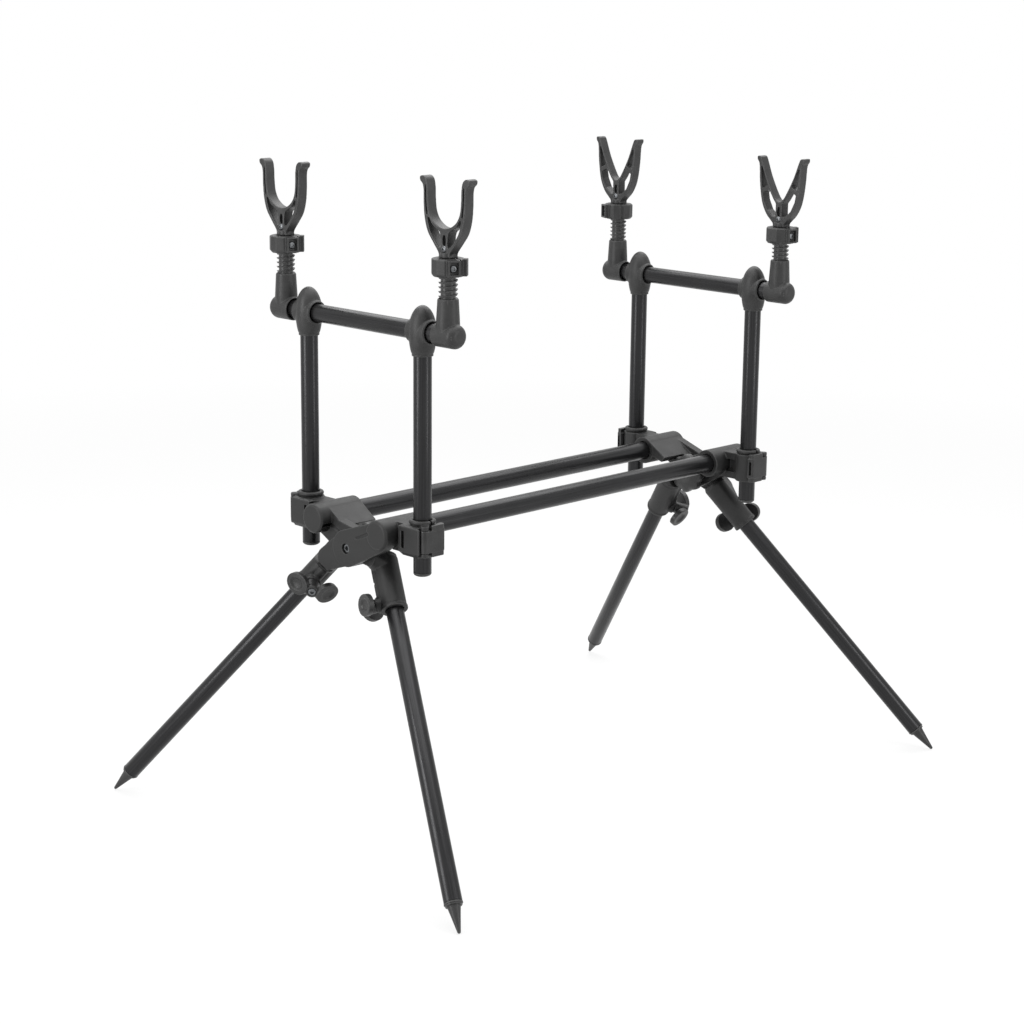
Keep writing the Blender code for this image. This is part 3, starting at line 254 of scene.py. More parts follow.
def moulded_nylon(name, dark, light, roughness):
    made, tree = new_material(name)
    space = add(tree, "ShaderNodeTexCoord").outputs["Object"]
    grains = add(tree, "ShaderNodeTexNoise", {"Vector": space, "Scale": 1 / NYLON_GRAIN, "Detail": 2.0})
    clouds = add(tree, "ShaderNodeTexNoise", {"Vector": space, "Scale": 1 / NYLON_CLOUD, "Detail": 5.0})
    both = add(tree, "ShaderNodeMath", {0: grains, 1: clouds}, operation="ADD")
    spread = add(tree, "ShaderNodeMapRange", {"Value": both, "From Min": 0.75, "From Max": 1.25})
    colour = add(tree, "ShaderNodeValToRGB", {"Fac": spread})
    colour.color_ramp.elements[0].color = linear(dark)
    colour.color_ramp.elements[1].color = linear(light)
    # Convex corners are a touch paler: partly rubbed wear, partly a painted edge highlight
    corners = add(tree, "ShaderNodeNewGeometry").outputs["Pointiness"]
    wear_and_edge_highlight = add(tree, "ShaderNodeMapRange", {
        "Value": corners, "From Min": 0.505, "From Max": 0.56, "To Max": 0.35,
    })
    colours = {"Factor": wear_and_edge_highlight, "A": colour, "B": linear("#585858")}
    worn_and_highlit = add(tree, "ShaderNodeMix", colours, data_type="RGBA")
    shine = add(tree, "ShaderNodeMapRange", {
        "Value": clouds, "From Min": 0.3, "From Max": 0.7,
        "To Min": roughness - 0.05, "To Max": roughness + 0.06,
    })
    bump = add(tree, "ShaderNodeBump", {"Height": grains, "Strength": 0.30, "Distance": NYLON_GRAIN_DEPTH})
    shader = add(tree, "ShaderNodeBsdfPrincipled", {
        "Base Color": worn_and_highlit.outputs["Result"], "Roughness": shine, "Normal": bump,
        "IOR": 1.53, "Specular IOR Level": 0.34,
    })
    add(tree, "ShaderNodeOutputMaterial", {"Surface": shader})
    return made


# %% [markdown]
# The small screws are zinc-plated steel, a little blue, cloudy, and dulled by wet nights.

# %% Zinc-plated steel
ZINC_CLOUD = 0.0016


def zinc_plated_steel():
    made, tree = new_material("zinc_plated_steel")
    space = add(tree, "ShaderNodeTexCoord").outputs["Object"]
    clouds = add(tree, "ShaderNodeTexNoise", {"Vector": space, "Scale": 1 / ZINC_CLOUD, "Detail": 4.0})
    colour = add(tree, "ShaderNodeValToRGB", {"Fac": clouds})
    colour.color_ramp.elements[0].color = linear("#4e5052")
    colour.color_ramp.elements[1].color = linear("#7f8183")
    rough = add(tree, "ShaderNodeMapRange", {
        "Value": clouds, "From Min": 0.3, "From Max": 0.7, "To Min": 0.32, "To Max": 0.44,
    })
    shader = add(tree, "ShaderNodeBsdfPrincipled", {
        "Base Color": colour, "Roughness": rough, "Metallic": 1.0,
    })
    add(tree, "ShaderNodeOutputMaterial", {"Surface": shader})
    return made


TUBE = anodised_aluminium()
NYLON = moulded_nylon("glass_filled_nylon_black", "#1f1f1f", "#303030", 0.46)
# The leg brackets get a darker copy of the same nylon: painted shade
BRACKET_SHADED_NYLON = moulded_nylon("leg_bracket_nylon_painted_shade", "#131313", "#1f1f1f", 0.50)
REST_NYLON = moulded_nylon("rod_rest_nylon_black", "#242424", "#363636", 0.42)
KNOB_NYLON = moulded_nylon("knob_nylon_black", "#1e1e1e", "#2f2f2f", 0.40)
STUD_NYLON = moulded_nylon("threaded_nylon_black", "#1c1c1c", "#2b2b2b", 0.36)
SPIKE_NYLON = moulded_nylon("spike_nylon_black", "#202020", "#303030", 0.40)
STEEL = zinc_plated_steel()
print("materials", len(bpy.data.materials))

# %% [markdown]
# Solid shapes come from a few makers: a cylinder, a box, a turned profile, an outline cut
# from plate, and a skin stretched over two shapes. A Boolean joins them and cuts the
# bores. They are drawn with many sides, because they are looked at closely.

# %% Shape makers
ROUND = 64
FIT_GAP = 0.0003
ALONG_X = Matrix.Rotation(pi / 2, 4, "Y")
BACK_ALONG_X = Matrix.Rotation(-pi / 2, 4, "Y")
ALONG_Y = Matrix.Rotation(-pi / 2, 4, "X")
HALF_TURN = Matrix.Rotation(pi, 4, "Z")
UPSIDE_DOWN = Matrix.Rotation(pi, 4, "X")
# Stands an outline drawn in XY across the end: its X goes along Y and its Y up
ACROSS = Matrix(((0, 0, 1, 0), (1, 0, 0, 0), (0, 1, 0, 0), (0, 0, 0, 1)))


def applied(source, *others):
    """The source's mesh with its modifiers applied. The working objects are removed."""
    graph = bpy.context.evaluated_depsgraph_get()
    mesh = bpy.data.meshes.new_from_object(source.evaluated_get(graph))
    for used in (source, *others):
        bpy.data.objects.remove(used)
    return mesh


def combined(base, add_on=(), cut=()):
    """The base with every shape of add_on joined to it, and then every shape of cut removed."""
    body = shown("tool", base)
    used = []
    for operation, shapes in (("UNION", add_on), ("DIFFERENCE", cut)):
        for shape in shapes:
            tool = shown("tool", shape)
            step = body.modifiers.new(operation.lower(), "BOOLEAN")
            step.operation = operation
            step.solver = "MANIFOLD"
            step.object = tool
            used.append(tool)
    return applied(body, *used)


def moved(mesh, matrix):
    mesh.transform(matrix)
    return mesh


def shape_of(bm):
    mesh = bpy.data.meshes.new("shape")
    bm.to_mesh(mesh)
    bm.free()
    return mesh


def cylinder(diameter, start, end, sides=ROUND):
    bm = bmesh.new()
    radius = diameter / 2
    bmesh.ops.create_cone(
        bm, cap_ends=True, segments=sides, radius1=radius, radius2=radius, depth=end - start
    )
    bmesh.ops.translate(bm, verts=bm.verts, vec=(0.0, 0.0, (start + end) / 2))
    return shape_of(bm)


def box(x_range, y_range, z_range):
    bm = bmesh.new()
    bmesh.ops.create_cube(bm, size=1.0)
    ranges = [sorted(pair) for pair in (x_range, y_range, z_range)]
    bmesh.ops.scale(bm, verts=bm.verts, vec=[high - low for low, high in ranges])
    bmesh.ops.translate(bm, verts=bm.verts, vec=[(low + high) / 2 for low, high in ranges])
    return shape_of(bm)


def turned(profile, sides=ROUND):
    """A shape turned from (radius, height) points, with flat ends closed to the axis."""
    if profile[0][0] > 0.0:
        profile = [(0.0, profile[0][1]), *profile]
    if profile[-1][0] > 0.0:
        profile = [*profile, (0.0, profile[-1][1])]
    mesh = bpy.data.meshes.new("profile")
    edges = [(i, i + 1) for i in range(len(profile) - 1)]
    mesh.from_pydata([(radius, 0.0, height) for radius, height in profile], edges, [])
    body = shown("tool", mesh)
    step = body.modifiers.new("turn", "SCREW")
    step.steps = sides
    step.render_steps = sides
    step.use_merge_vertices = True
    step.merge_threshold = 0.00001
    return applied(body)


def extruded(outline, low, high):
    """A flat outline in XY, extruded from low to high."""
    curve = bpy.data.curves.new("outline", "CURVE")
    curve.dimensions = "2D"
    curve.fill_mode = "BOTH"
    curve.extrude = (high - low) / 2
    spline = curve.splines.new("POLY")
    spline.points.add(len(outline) - 1)
    for place, (x, y) in zip(spline.points, outline):
        place.co = (x, y, 0.0, 1.0)
    spline.use_cyclic_u = True
    bm = bmesh.new()
    bm.from_mesh(applied(shown("tool", curve)))
    bmesh.ops.remove_doubles(bm, verts=bm.verts, dist=0.000001)
    bmesh.ops.recalc_face_normals(bm, faces=bm.faces)
    bmesh.ops.translate(bm, verts=bm.verts, vec=(0.0, 0.0, (low + high) / 2))
    return shape_of(bm)


def hull(*meshes):
    """The skin stretched over all points of the given shapes."""
    bm = bmesh.new()
    for mesh in meshes:
        bm.from_mesh(mesh)
    bmesh.ops.delete(bm, geom=list(bm.faces) + list(bm.edges), context="EDGES_FACES")
    found = bmesh.ops.convex_hull(bm, input=bm.verts)
    inside = [item for item in found["geom_interior"] if isinstance(item, bmesh.types.BMVert)]
    bmesh.ops.delete(bm, geom=inside, context="VERTS")
    bmesh.ops.recalc_face_normals(bm, faces=bm.faces)
    return shape_of(bm)


# %% [markdown]
# Outlines are drawn as arcs, ellipses, links and smooth lines through a few points. A
# link is the shape of a belt round two discs, which is what most clamp arms look like.

# %% Outline makers


def arc(centre, radius, start, end, count):
    steps = [start + (end - start) * i / (count - 1) for i in range(count)]
    return [(centre[0] + radius * cos(a), centre[1] + radius * sin(a)) for a in steps]


def link(first, first_radius, second, second_radius, count=24):
    along = atan2(second[1] - first[1], second[0] - first[0])
    length = hypot(second[0] - first[0], second[1] - first[1])
    open_angle = acos((first_radius - second_radius) / length)
    far = arc(second, second_radius, along - open_angle, along + open_angle, count)
    near = arc(first, first_radius, along + open_angle, along + 2 * pi - open_angle, count)
    return far + near


def ellipse(centre, half_x, half_y, count=48):
    steps = [2 * pi * i / count for i in range(count)]
    return [(centre[0] + half_x * cos(a), centre[1] + half_y * sin(a)) for a in steps]


def smooth(points, closed_line=False, per_span=8):
    """A smooth line through the points, with per_span pieces between two of them."""
    count = len(points)
    spans = count if closed_line else count - 1
    line = []
    for i in range(spans):
        if closed_line:
            four = [Vector(points[(i + k) % count]) for k in (-1, 0, 1, 2)]
        else:
            four = [Vector(points[min(max(i + k, 0), count - 1)]) for k in (-1, 0, 1, 2)]
        before, here, there, after = four
        for step in range(per_span):
            t = step / per_span
            pull = there - before
            bend = 2 * before - 5 * here + 4 * there - after
            swing = 3 * here - before - 3 * there + after
            line.append(tuple(0.5 * (2 * here + pull * t + bend * t**2 + swing * t**3)))
    if not closed_line:
        line.append(tuple(points[-1]))
    return line


def mirrored(points):
    """The same outline on the other side of x = 0."""
    return [(-x, y) for x, y in reversed(points)]


# %% [markdown]
# A moulding has no knife edge: molten plastic wants a radius at every corner, and where a
# boss meets a wall it flows into a fillet. Bevels stumble where many curved shapes meet.
# So the joined shape is wrapped in an even skin of small squares, the skin is relaxed a
# few times, which rounds every edge and fillets every corner alike, and the flat stretches
# are then thinned out again. Each piece is placed in its mesh and rides on its body.

# %% Softening and placing


def moulded(mesh, voxel, rounds=4, keep=0.35):
    """The shape as it comes from the mould, with every edge and corner rounded."""
    body = shown("tool", mesh)
    skin = body.modifiers.new("skin", "REMESH")
    skin.mode = "VOXEL"
    skin.voxel_size = voxel
    relax = body.modifiers.new("relax", "SMOOTH")
    relax.factor = 0.5
    relax.iterations = rounds
    thin = body.modifiers.new("thin", "DECIMATE")
    thin.ratio = keep
    return applied(body)


def dress(node, mesh, finish, matrix, kind="moulding", screw=None):
    """A finished piece on a node's body. It stands for the node, or is a small screw on it."""
    mesh = mesh.copy()
    mesh.transform(matrix)
    mesh.materials.clear()
    mesh.materials.append(finish)
    mesh.shade_smooth()
    mesh.set_sharp_from_angle(angle=radians(32.0))
    piece = shown(screw or f"{node}_{kind}", mesh)
    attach(piece, frame["nodes"][node]["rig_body"])
    if screw is None:
        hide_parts(node)
    return piece


# %% [markdown]
# A drawn tube is a ring of constant wall. Geometry Nodes make it as a lathe would: a
# small rectangle, the wall seen end on, with its corners filleted, is swept round a
# circle. The tree keeps its sizes as named inputs, so one tree makes every tube of the
# stand. It also stores each point's own straight coordinates for the draw lines.

# %% Tubes
BAR_WALL = 0.0012
TUBE_WALL = 0.0010
TUBE_EDGE = 0.0003
BAR_RADIUS = 0.0090
TUBE_RADIUS = 0.0080


def new_tree(name, sizes):
    """A geometry tree with an input for each size and one for the finish."""
    tree = bpy.data.node_groups.new(name, "GeometryNodeTree")
    tree.interface.new_socket(name="Geometry", in_out="OUTPUT", socket_type="NodeSocketGeometry")
    for size in sizes:
        tree.interface.new_socket(name=size, in_out="INPUT", socket_type="NodeSocketFloat")
    tree.interface.new_socket(name="Finish", in_out="INPUT", socket_type="NodeSocketMaterial")
    return tree, add(tree, "NodeGroupInput").outputs


def finished(tree, mesh, finish):
    real = add(tree, "GeometryNodeRealizeInstances", {"Geometry": mesh})
    coated = add(tree, "GeometryNodeSetMaterial", {"Geometry": real, "Material": finish})
    add(tree, "NodeGroupOutput", {"Geometry": coated})
    return tree


def tube_tree():
    tree, given = new_tree("drawn_tube", ("Length", "Radius", "Wall", "Edge"))
    half_wall = add(tree, "ShaderNodeMath", {0: given["Wall"], 1: 0.5}, operation="MULTIPLY")
    centre = add(tree, "ShaderNodeMath", {0: given["Radius"], 1: half_wall}, operation="SUBTRACT")
    circle = add(tree, "GeometryNodeCurvePrimitiveCircle", {"Resolution": 96, "Radius": centre})
    wall = add(tree, "GeometryNodeCurvePrimitiveQuadrilateral", {
        "Width": given["Wall"], "Height": given["Length"],
    })
    corner = {"Curve": wall, "Count": 3, "Radius": given["Edge"]}
    soft = add(tree, "GeometryNodeFilletCurve", corner, mode="POLY")
    swept = add(tree, "GeometryNodeCurveToMesh", {"Curve": circle, "Profile Curve": soft})
    here = add(tree, "GeometryNodeInputPosition")
    own_place = {"Geometry": swept, "Name": "tube_space", "Value": here}
    stored = add(
        tree, "GeometryNodeStoreNamedAttribute", own_place, data_type="FLOAT_VECTOR", domain="POINT"
    )
    return finished(tree, stored, given["Finish"])


def grown(tree, **values):
    """The mesh that a tree makes from the values of its named inputs."""
    body = shown("tool", bpy.data.meshes.new("seed"))
    step = body.modifiers.new("grow", "NODES")
    step.node_group = tree
    names = {item.name.lower(): item.identifier
             for item in tree.interface.items_tree if item.in_out == "INPUT"}
    for name, value in values.items():
        step[names[name]] = value
    return applied(body)


DRAWN = tube_tree()


def drawn_tube(node, axis, radius=TUBE_RADIUS, wall=TUBE_WALL):
    """The tube that stands for a node: its place along the axis is the node's own."""
    centre = middle(node)
    low, high = span(node, centre, axis)
    mesh = grown(DRAWN, length=high - low, radius=radius, wall=wall, edge=TUBE_EDGE, finish=TUBE)
    turn = Vector((0, 0, 1)).rotation_difference(Vector(axis)).to_matrix().to_4x4()
    dress(node, mesh, TUBE, Matrix.Translation(centre) @ turn, "tube")


for side in ("left", "right"):
    drawn_tube(f"main_bar_{side}", (1, 0, 0), BAR_RADIUS, BAR_WALL)
for end in ENDS:
    drawn_tube(f"crossbar_{end}", (0, 1, 0))
for end, side in PLACES:
    drawn_tube(f"upright_{end}_{side}", (0, 0, 1))
    drawn_tube(f"leg_tube_{end}_{side}", leg_frame(end, side).to_3x3() @ Vector((0, 0, 1)))

# %% [markdown]
# Each leg bracket is one moulding with four jobs. Its barrel is pushed on the main bar's
# end. A neck, shaped like a rail on its side, carries a split sleeve for the upright. A
# flat arm crosses to the other side, past the pivot bolt, and ends in a socket for the
# leg. The shapes are drawn plainly, joined and softened as one.

# %% Sizes of the leg brackets
BARREL_DIAMETER = 0.0272
BARREL_INWARD = 0.0250
BARREL_OUTWARD = 0.0262
BARREL_END_WALL = 0.004
BAR_BORE = 0.0186
TUBE_BORE = 0.0166
SLEEVE_DIAMETER = 0.025
SLEEVE_LOW = 0.0155
SLEEVE_HIGH = 0.0122
RING_DIAMETER = 0.0240
RING_TOP = 0.0170
JAW_FACE = 0.0150
JAW_TO_BAR = 0.0150
JAW_TO_LEVER = 0.0088
JAW_GUARD = 0.0110
JAW_SLIT_FROM_POST = 0.0098
JAW_SLIT_HALF = 0.0016
NECK_HALF_WIDTH = 0.009
NECK_WEB_HALF = 0.004
NECK_FLANGE = 0.0068
ARM_THICKNESS = 0.0092
ARM_FACES = {1: 0.0238, -1: 0.0141}
ARM_DROP = {1: 0.0020, -1: 0.0052}
ARM_BAR_RADIUS = {1: 0.0136, -1: 0.0100}
SADDLE_THICKNESS = 0.0062
SADDLE_SLOPE = radians(33.0)
SADDLE_REACH = 0.0225
HAND_NUT_ROOM = 0.0212
ARM_PIVOT_RADIUS = 0.0168
ARM_LEG_RADIUS = {1: 0.0105, -1: 0.0092}
SOCKET_DIAMETER = 0.024
SOCKET_LENGTH = 0.037
SOCKET_CROWN = 0.017
SEAT_SPAN = {1: (-0.005, 0.012), -1: (-0.0165, -0.003)}
ARM_BEND = {1: (0.68, 0.0028), -1: (0.62, 0.0160)}
ARM_LOWER_RADIUS = {1: 0.0156, -1: 0.0118}
BOLT_HOLE = 0.0066
BOLT_HEAD_HOLE = 0.0094
KNOB_SCREW_HOLE = 0.0063
PIVOT = (0.0, pivot_z)

leg_in_end = {
    1: end_frame["rear"].inverted() @ leg_frame("rear", "right"),
    -1: end_frame["rear"].inverted() @ leg_frame("rear", "left"),
}
KNOB_AXIS = at(0, 0, KNOB_FROM_KNEE) @ ALONG_X

# %% Barrel, neck and sleeve


def barrel(side):
    radius = BARREL_DIAMETER / 2
    shape = turned([
        (radius - 0.0018, BARREL_OUTWARD), (radius - 0.0004, BARREL_OUTWARD - 0.0012),
        (radius, BARREL_OUTWARD - 0.0022), (radius, -BARREL_INWARD),
    ], 96)
    return moved(shape, at(0, side * bar_y, bar_z) @ ALONG_X)


def sleeve(side):
    radius = SLEEVE_DIAMETER / 2
    ring = RING_DIAMETER / 2
    shape = turned([
        (ring - 0.0014, RING_TOP), (ring - 0.0004, RING_TOP - 0.0006), (ring, RING_TOP - 0.0018),
        (ring - 0.0003, RING_TOP - 0.0032), (ring - 0.0016, RING_TOP - 0.0042),
        (ring - 0.0016, SLEEVE_HIGH), (radius, SLEEVE_HIGH), (radius, -SLEEVE_LOW + 0.0012),
        (radius - 0.0012, -SLEEVE_LOW),
    ], 96)
    return moved(shape, at(0, side * post_y, bar_z))


def clamp_body(side):
    """The square outboard side of the clamp, chamfered above and below."""
    bar_side = post_y - JAW_TO_BAR
    lever_side = post_y + JAW_TO_LEVER
    low = bar_z - SLEEVE_LOW
    high = bar_z + SLEEVE_HIGH
    slope = 0.0038
    shapes = []
    for inset, bottom, top in ((0.0, low + slope, high - 0.0012), (0.0030, low, high)):
        x_range = (0.0, JAW_FACE - inset)
        y_range = (side * (bar_side + inset), side * lever_side)
        shapes.append(box(x_range, y_range, (bottom, top)))
    guard = box((JAW_FACE - 0.0018, JAW_FACE), (side * (post_y + 0.006), side * (post_y + JAW_GUARD)),
                (low + slope, high - 0.0012))
    return [hull(*shapes), guard]


def neck(side):
    """The rail from the barrel to the sleeve: two flanges and a thin web."""
    low = bar_z - SLEEVE_LOW + 0.001
    high = bar_z + SLEEVE_HIGH - 0.0005
    reach = (side * (bar_y + 0.0031), side * (post_y - SLEEVE_DIAMETER / 2 + 0.0028))
    half = NECK_HALF_WIDTH
    return [
        box((-NECK_WEB_HALF, NECK_WEB_HALF), reach, (low + 0.001, high - 0.001)),
        box((-half, half), reach, (low, low + NECK_FLANGE)),
        box((-half, half), reach, (high - NECK_FLANGE, high)),
    ]


# %% Arm and socket


def arm_root(side):
    """Where an arm starts, beside its bar."""
    return side * bar_y, bar_z - ARM_DROP[side]


def arm(side, leg):
    face = ARM_FACES[side]
    inner = face - ARM_THICKNESS
    knee = leg.translation
    share, rise = ARM_BEND[side]
    bend = (knee.y * share, knee.z + rise)
    above = link(arm_root(side), ARM_BAR_RADIUS[side], PIVOT, ARM_PIVOT_RADIUS)
    upper = extruded(above, inner, face)
    below = link(PIVOT, ARM_LOWER_RADIUS[side], bend, ARM_LEG_RADIUS[side])
    lower = extruded(below, inner + FIT_GAP, face - FIT_GAP)
    pad_radius = ARM_LEG_RADIUS[side] - 0.0006
    pad = extruded(ellipse(bend, pad_radius, pad_radius), inner + 0.0005, face - 0.0005)
    seat = moved(cylinder(SOCKET_DIAMETER - 0.002, *SEAT_SPAN[side], 48), leg)
    return [moved(upper, ACROSS), moved(lower, ACROSS), hull(moved(pad, ACROSS), seat)]


def saddle(side):
    """The wide web that leaves the barrel at a tangent and slopes to the crossing."""
    drop = Vector((-cos(SADDLE_SLOPE), -sin(SADDLE_SLOPE)))
    under = Vector((-sin(SADDLE_SLOPE), cos(SADDLE_SLOPE))) * -SADDLE_THICKNESS
    root = Vector((bar_y, bar_z)) - under.normalized() * (BARREL_DIAMETER / 2 - 0.0002)
    top = root + drop * (SADDLE_REACH + 0.0060)
    corners = [root, top, top + under, root + under * 2.2]
    outline = [(side * point.x, point.y) for point in corners]
    return moved(extruded(outline, 0.0003 - BARREL_INWARD, ARM_FACES[side] - 0.0003), ACROSS)


def socket_shapes(leg):
    """The leg's socket with its lip, the half-round rib along it and the knob's boss."""
    wide = SOCKET_DIAMETER / 2
    slim = wide - 0.0005
    body = turned([
        (wide - 0.0004, SOCKET_LENGTH), (wide, SOCKET_LENGTH - 0.0004),
        (wide, SOCKET_LENGTH - 0.003), (slim, SOCKET_LENGTH - 0.0035), (slim, 0.004 - SOCKET_CROWN),
        (slim - 0.0015, 0.0012 - SOCKET_CROWN), (slim - 0.004, -SOCKET_CROWN),
    ], 96)
    rib = cylinder(0.009, 0.0015 - SOCKET_CROWN, KNOB_FROM_KNEE - 0.0036, 48)
    boss = turned([(0.0064, 0.0152), (0.00725, 0.0144), (0.00725, 0.006)])
    return [moved(body, leg), moved(rib, leg @ at(slim - 0.002, 0, 0)), moved(boss, leg @ KNOB_AXIS)]


# %% Clamp cheeks and cuts
PIN_ALONG = 0.0088
PIN_OUT = 0.0126
CHEEK = 0.0036
CLAMP_HALF = 0.014
KNUCKLE = 0.0038


def cheeks(side):
    """The two cheeks beside the sleeve that hold the lever's pin."""
    pin = (PIN_ALONG, side * (post_y + PIN_OUT))
    root = (PIN_ALONG * 0.45, side * (post_y + PIN_OUT * 0.6))
    low = bar_z - CLAMP_HALF
    high = bar_z + CLAMP_HALF
    outline = link(root, KNUCKLE, pin, KNUCKLE - 0.0003)
    return [extruded(outline, low, low + CHEEK), extruded(outline, high - CHEEK, high)]


def bracket_cuts(side, leg):
    face = ARM_FACES[side]
    axis = at(0, 0, pivot_z) @ ALONG_X
    bar = at(0, side * bar_y, bar_z) @ ALONG_X
    post = at(0, side * post_y, bar_z)
    pin = at(PIN_ALONG, side * (post_y + PIN_OUT), bar_z)
    slit = post_y - JAW_SLIT_FROM_POST
    radius = SLEEVE_DIAMETER / 2
    cuts = [
        moved(cylinder(BOLT_HOLE, face - 0.03, face + 0.02), axis),
        moved(cylinder(2 * HAND_NUT_ROOM, -0.06, ARM_FACES[-1] - ARM_THICKNESS - 0.0002), axis),
        moved(cylinder(BAR_BORE, -BARREL_INWARD - 0.01, BARREL_OUTWARD - BARREL_END_WALL), bar),
        moved(cylinder(TUBE_BORE, -0.05, 0.05), post),
        moved(turned([(0.0092, 0.01), (0.0083, -0.0012)]), post @ at(0, 0, RING_TOP)),
        moved(cylinder(TUBE_BORE, 0.004, SOCKET_LENGTH + 0.01), leg),
        moved(turned([(0.0094, 0.01), (0.0083, -0.0010)]), leg @ at(0, 0, SOCKET_LENGTH)),
        moved(cylinder(KNOB_SCREW_HOLE, 0.004, 0.03), leg @ KNOB_AXIS),
        moved(cylinder(TUBE_BORE + 0.0010, -0.09, -0.02), at(0, -side * post_y, bar_z)),
        box((-0.001, 0.001), (side * post_y, side * (post_y + radius + 0.005)),
            (bar_z - 0.04, bar_z + 0.04)),
        moved(cylinder(2 * KNUCKLE + 0.001, -CLAMP_HALF + CHEEK, CLAMP_HALF - CHEEK), pin),
        moved(cylinder(0.0032, -0.03, CLAMP_HALF - CHEEK / 2), pin),
        box((JAW_FACE - 0.0045, JAW_FACE + 0.01),
            (side * (slit - JAW_SLIT_HALF), side * (slit + JAW_SLIT_HALF)),
            (bar_z - 0.0085, bar_z + 0.0070)),
    ]
    if side > 0:
        cuts.append(moved(cylinder(BOLT_HEAD_HOLE, face - 0.0058, face + 0.02), axis))
    return cuts + [moved(mesh, ACROSS) for mesh in arm_cuts(side)]


def arm_cuts(side):
    """The sink groove in the arm's face, and the room for the arm that crosses it."""
    face = ARM_FACES[side]
    start = arm_root(side)
    along = Vector((PIVOT[0] - start[0], PIVOT[1] - start[1])).normalized()
    up = Vector((-along.y, along.x)) * (1 if side < 0 else -1)
    radius = ARM_BAR_RADIUS[side]
    root = Vector(start) + along * (radius * 0.75) + up * (radius * 0.42)
    tip = root + along * 0.018
    beside = (face - 2 * ARM_THICKNESS - 0.0005, face - ARM_THICKNESS - 0.0001)
    if side < 0:
        beside = (face + 0.0001, face + ARM_THICKNESS + 0.0005)
    groove = link(tuple(root), 0.0017, tuple(tip), 0.0011)
    room = link(arm_root(-side), ARM_BAR_RADIUS[-side] + 0.0005, PIVOT, ARM_PIVOT_RADIUS + 0.0005)
    return [extruded(groove, face - 0.001, face + 0.01), extruded(room, *beside)]


# %% The room that a knob turns in
PADDLE_LENGTH = 0.0232
PADDLE_WIDTH = 0.0196
PADDLE_THICKNESS = 0.005
PADDLE_TILT = radians(36.0)
PADDLE_ROOT_OUT = 0.0026
PADDLE_ROOT_DROP = 0.0028
HUB_TOP = 0.0295
HUB_FOOT = 0.0155
KNOB_ROOM = 0.0006


def paddle_sweep():
    tip_out = PADDLE_ROOT_OUT + PADDLE_LENGTH * cos(PADDLE_TILT)
    root_low = HUB_TOP - PADDLE_ROOT_DROP - KNOB_ROOM
    tip_low = root_low - PADDLE_LENGTH * sin(PADDLE_TILT)
    edge_out = tip_out + PADDLE_THICKNESS * sin(PADDLE_TILT) + KNOB_ROOM
    edge_low = tip_low + PADDLE_THICKNESS * cos(PADDLE_TILT)
    top = HUB_TOP + PADDLE_THICKNESS
    return turned([(edge_out, top), (edge_out, edge_low), (tip_out, tip_low), (0.0, root_low)])


# %% Making the brackets
BRACKET_SKIN = 0.00055


def leg_bracket(side):
    leg = leg_in_end[side]
    around = [saddle(side), sleeve(side), *clamp_body(side), *neck(side), *arm(side, leg)]
    solid = combined(barrel(side), add_on=[*around, *socket_shapes(leg), *cheeks(side)])
    cuts = bracket_cuts(side, leg) + [moved(paddle_sweep(), leg @ KNOB_AXIS)]
    return moulded(combined(solid, cut=cuts), BRACKET_SKIN, rounds=3, keep=0.3)


bracket_shapes = {side: leg_bracket(side) for side in (1, -1)}
for end, side in PLACES:
    shape = bracket_shapes[sign(end, side)]
    # The brackets wear the darker copy of the nylon, which is painted shade
    dress(f"leg_bracket_{end}_{side}", shape, BRACKET_SHADED_NYLON, end_frame[end])
print("bracket faces", len(bracket_shapes[1].polygons))

# %% [markdown]
# An upright ends in an egg-shaped head, and the crossbar passes through it sideways. The
# egg is half of one ellipse above and part of a longer one below, down to a short neck.
# Round the crossbar it swells into a boss. The bores open with a small countersink, which
# shows as a dark line round each tube.

# %% Upright heads
HEAD_RADIUS = 0.0121
HEAD_ABOVE = 0.0225
HEAD_BELOW = 0.0215
HEAD_NECK_RADIUS = 0.0093
HEAD_NECK_EDGE = 0.0099
HEAD_NECK_LENGTH = 0.0034
HEAD_BOSS_RADIUS = 0.0110
HEAD_BOSS_HALF = 0.0123
HEAD_POST_STOP = 0.0108
FINE_SKIN = 0.00042
MOUTH = 0.0012


def countersink(depth=MOUTH, bore=TUBE_BORE / 2):
    """Cuts the rim of a bore. Its mouth is at 0 and faces up."""
    return turned([(bore + 0.0012, 0.01), (bore + 0.0012, 0.0), (bore, -depth)])


def upright_head():
    top_of_neck = HEAD_BELOW - HEAD_NECK_LENGTH
    meet = acos(HEAD_NECK_EDGE / HEAD_RADIUS)
    reach = top_of_neck / sin(meet)
    crown = [(HEAD_RADIUS * cos(a), HEAD_ABOVE * sin(a)) for a in np.linspace(1.53, 0.0, 16)]
    belly = [(HEAD_RADIUS * cos(a), -reach * sin(a)) for a in np.linspace(0.0, meet, 8)[1:]]
    egg = turned([
        (0.0, HEAD_ABOVE), *crown, *belly, (HEAD_NECK_RADIUS, -top_of_neck - 0.0005),
        (HEAD_NECK_RADIUS, -HEAD_BELOW),
    ])
    radius = HEAD_BOSS_RADIUS
    half = HEAD_BOSS_HALF
    boss = turned([
        (radius - 0.0012, half), (radius, half - 0.0012), (radius, 0.0012 - half),
        (radius - 0.0012, -half),
    ])
    cuts = [
        moved(cylinder(TUBE_BORE, -0.04, 0.04), ALONG_Y),
        moved(countersink(), ALONG_Y @ at(0, 0, half)),
        moved(countersink(), HALF_TURN @ ALONG_Y @ at(0, 0, half)),
        cylinder(TUBE_BORE, -HEAD_BELOW - 0.01, -HEAD_POST_STOP),
        moved(countersink(0.0008), at(0, 0, -HEAD_BELOW) @ UPSIDE_DOWN),
    ]
    solid = combined(egg, add_on=[moved(boss, ALONG_Y)], cut=cuts)
    return moulded(solid, FINE_SKIN, rounds=5)


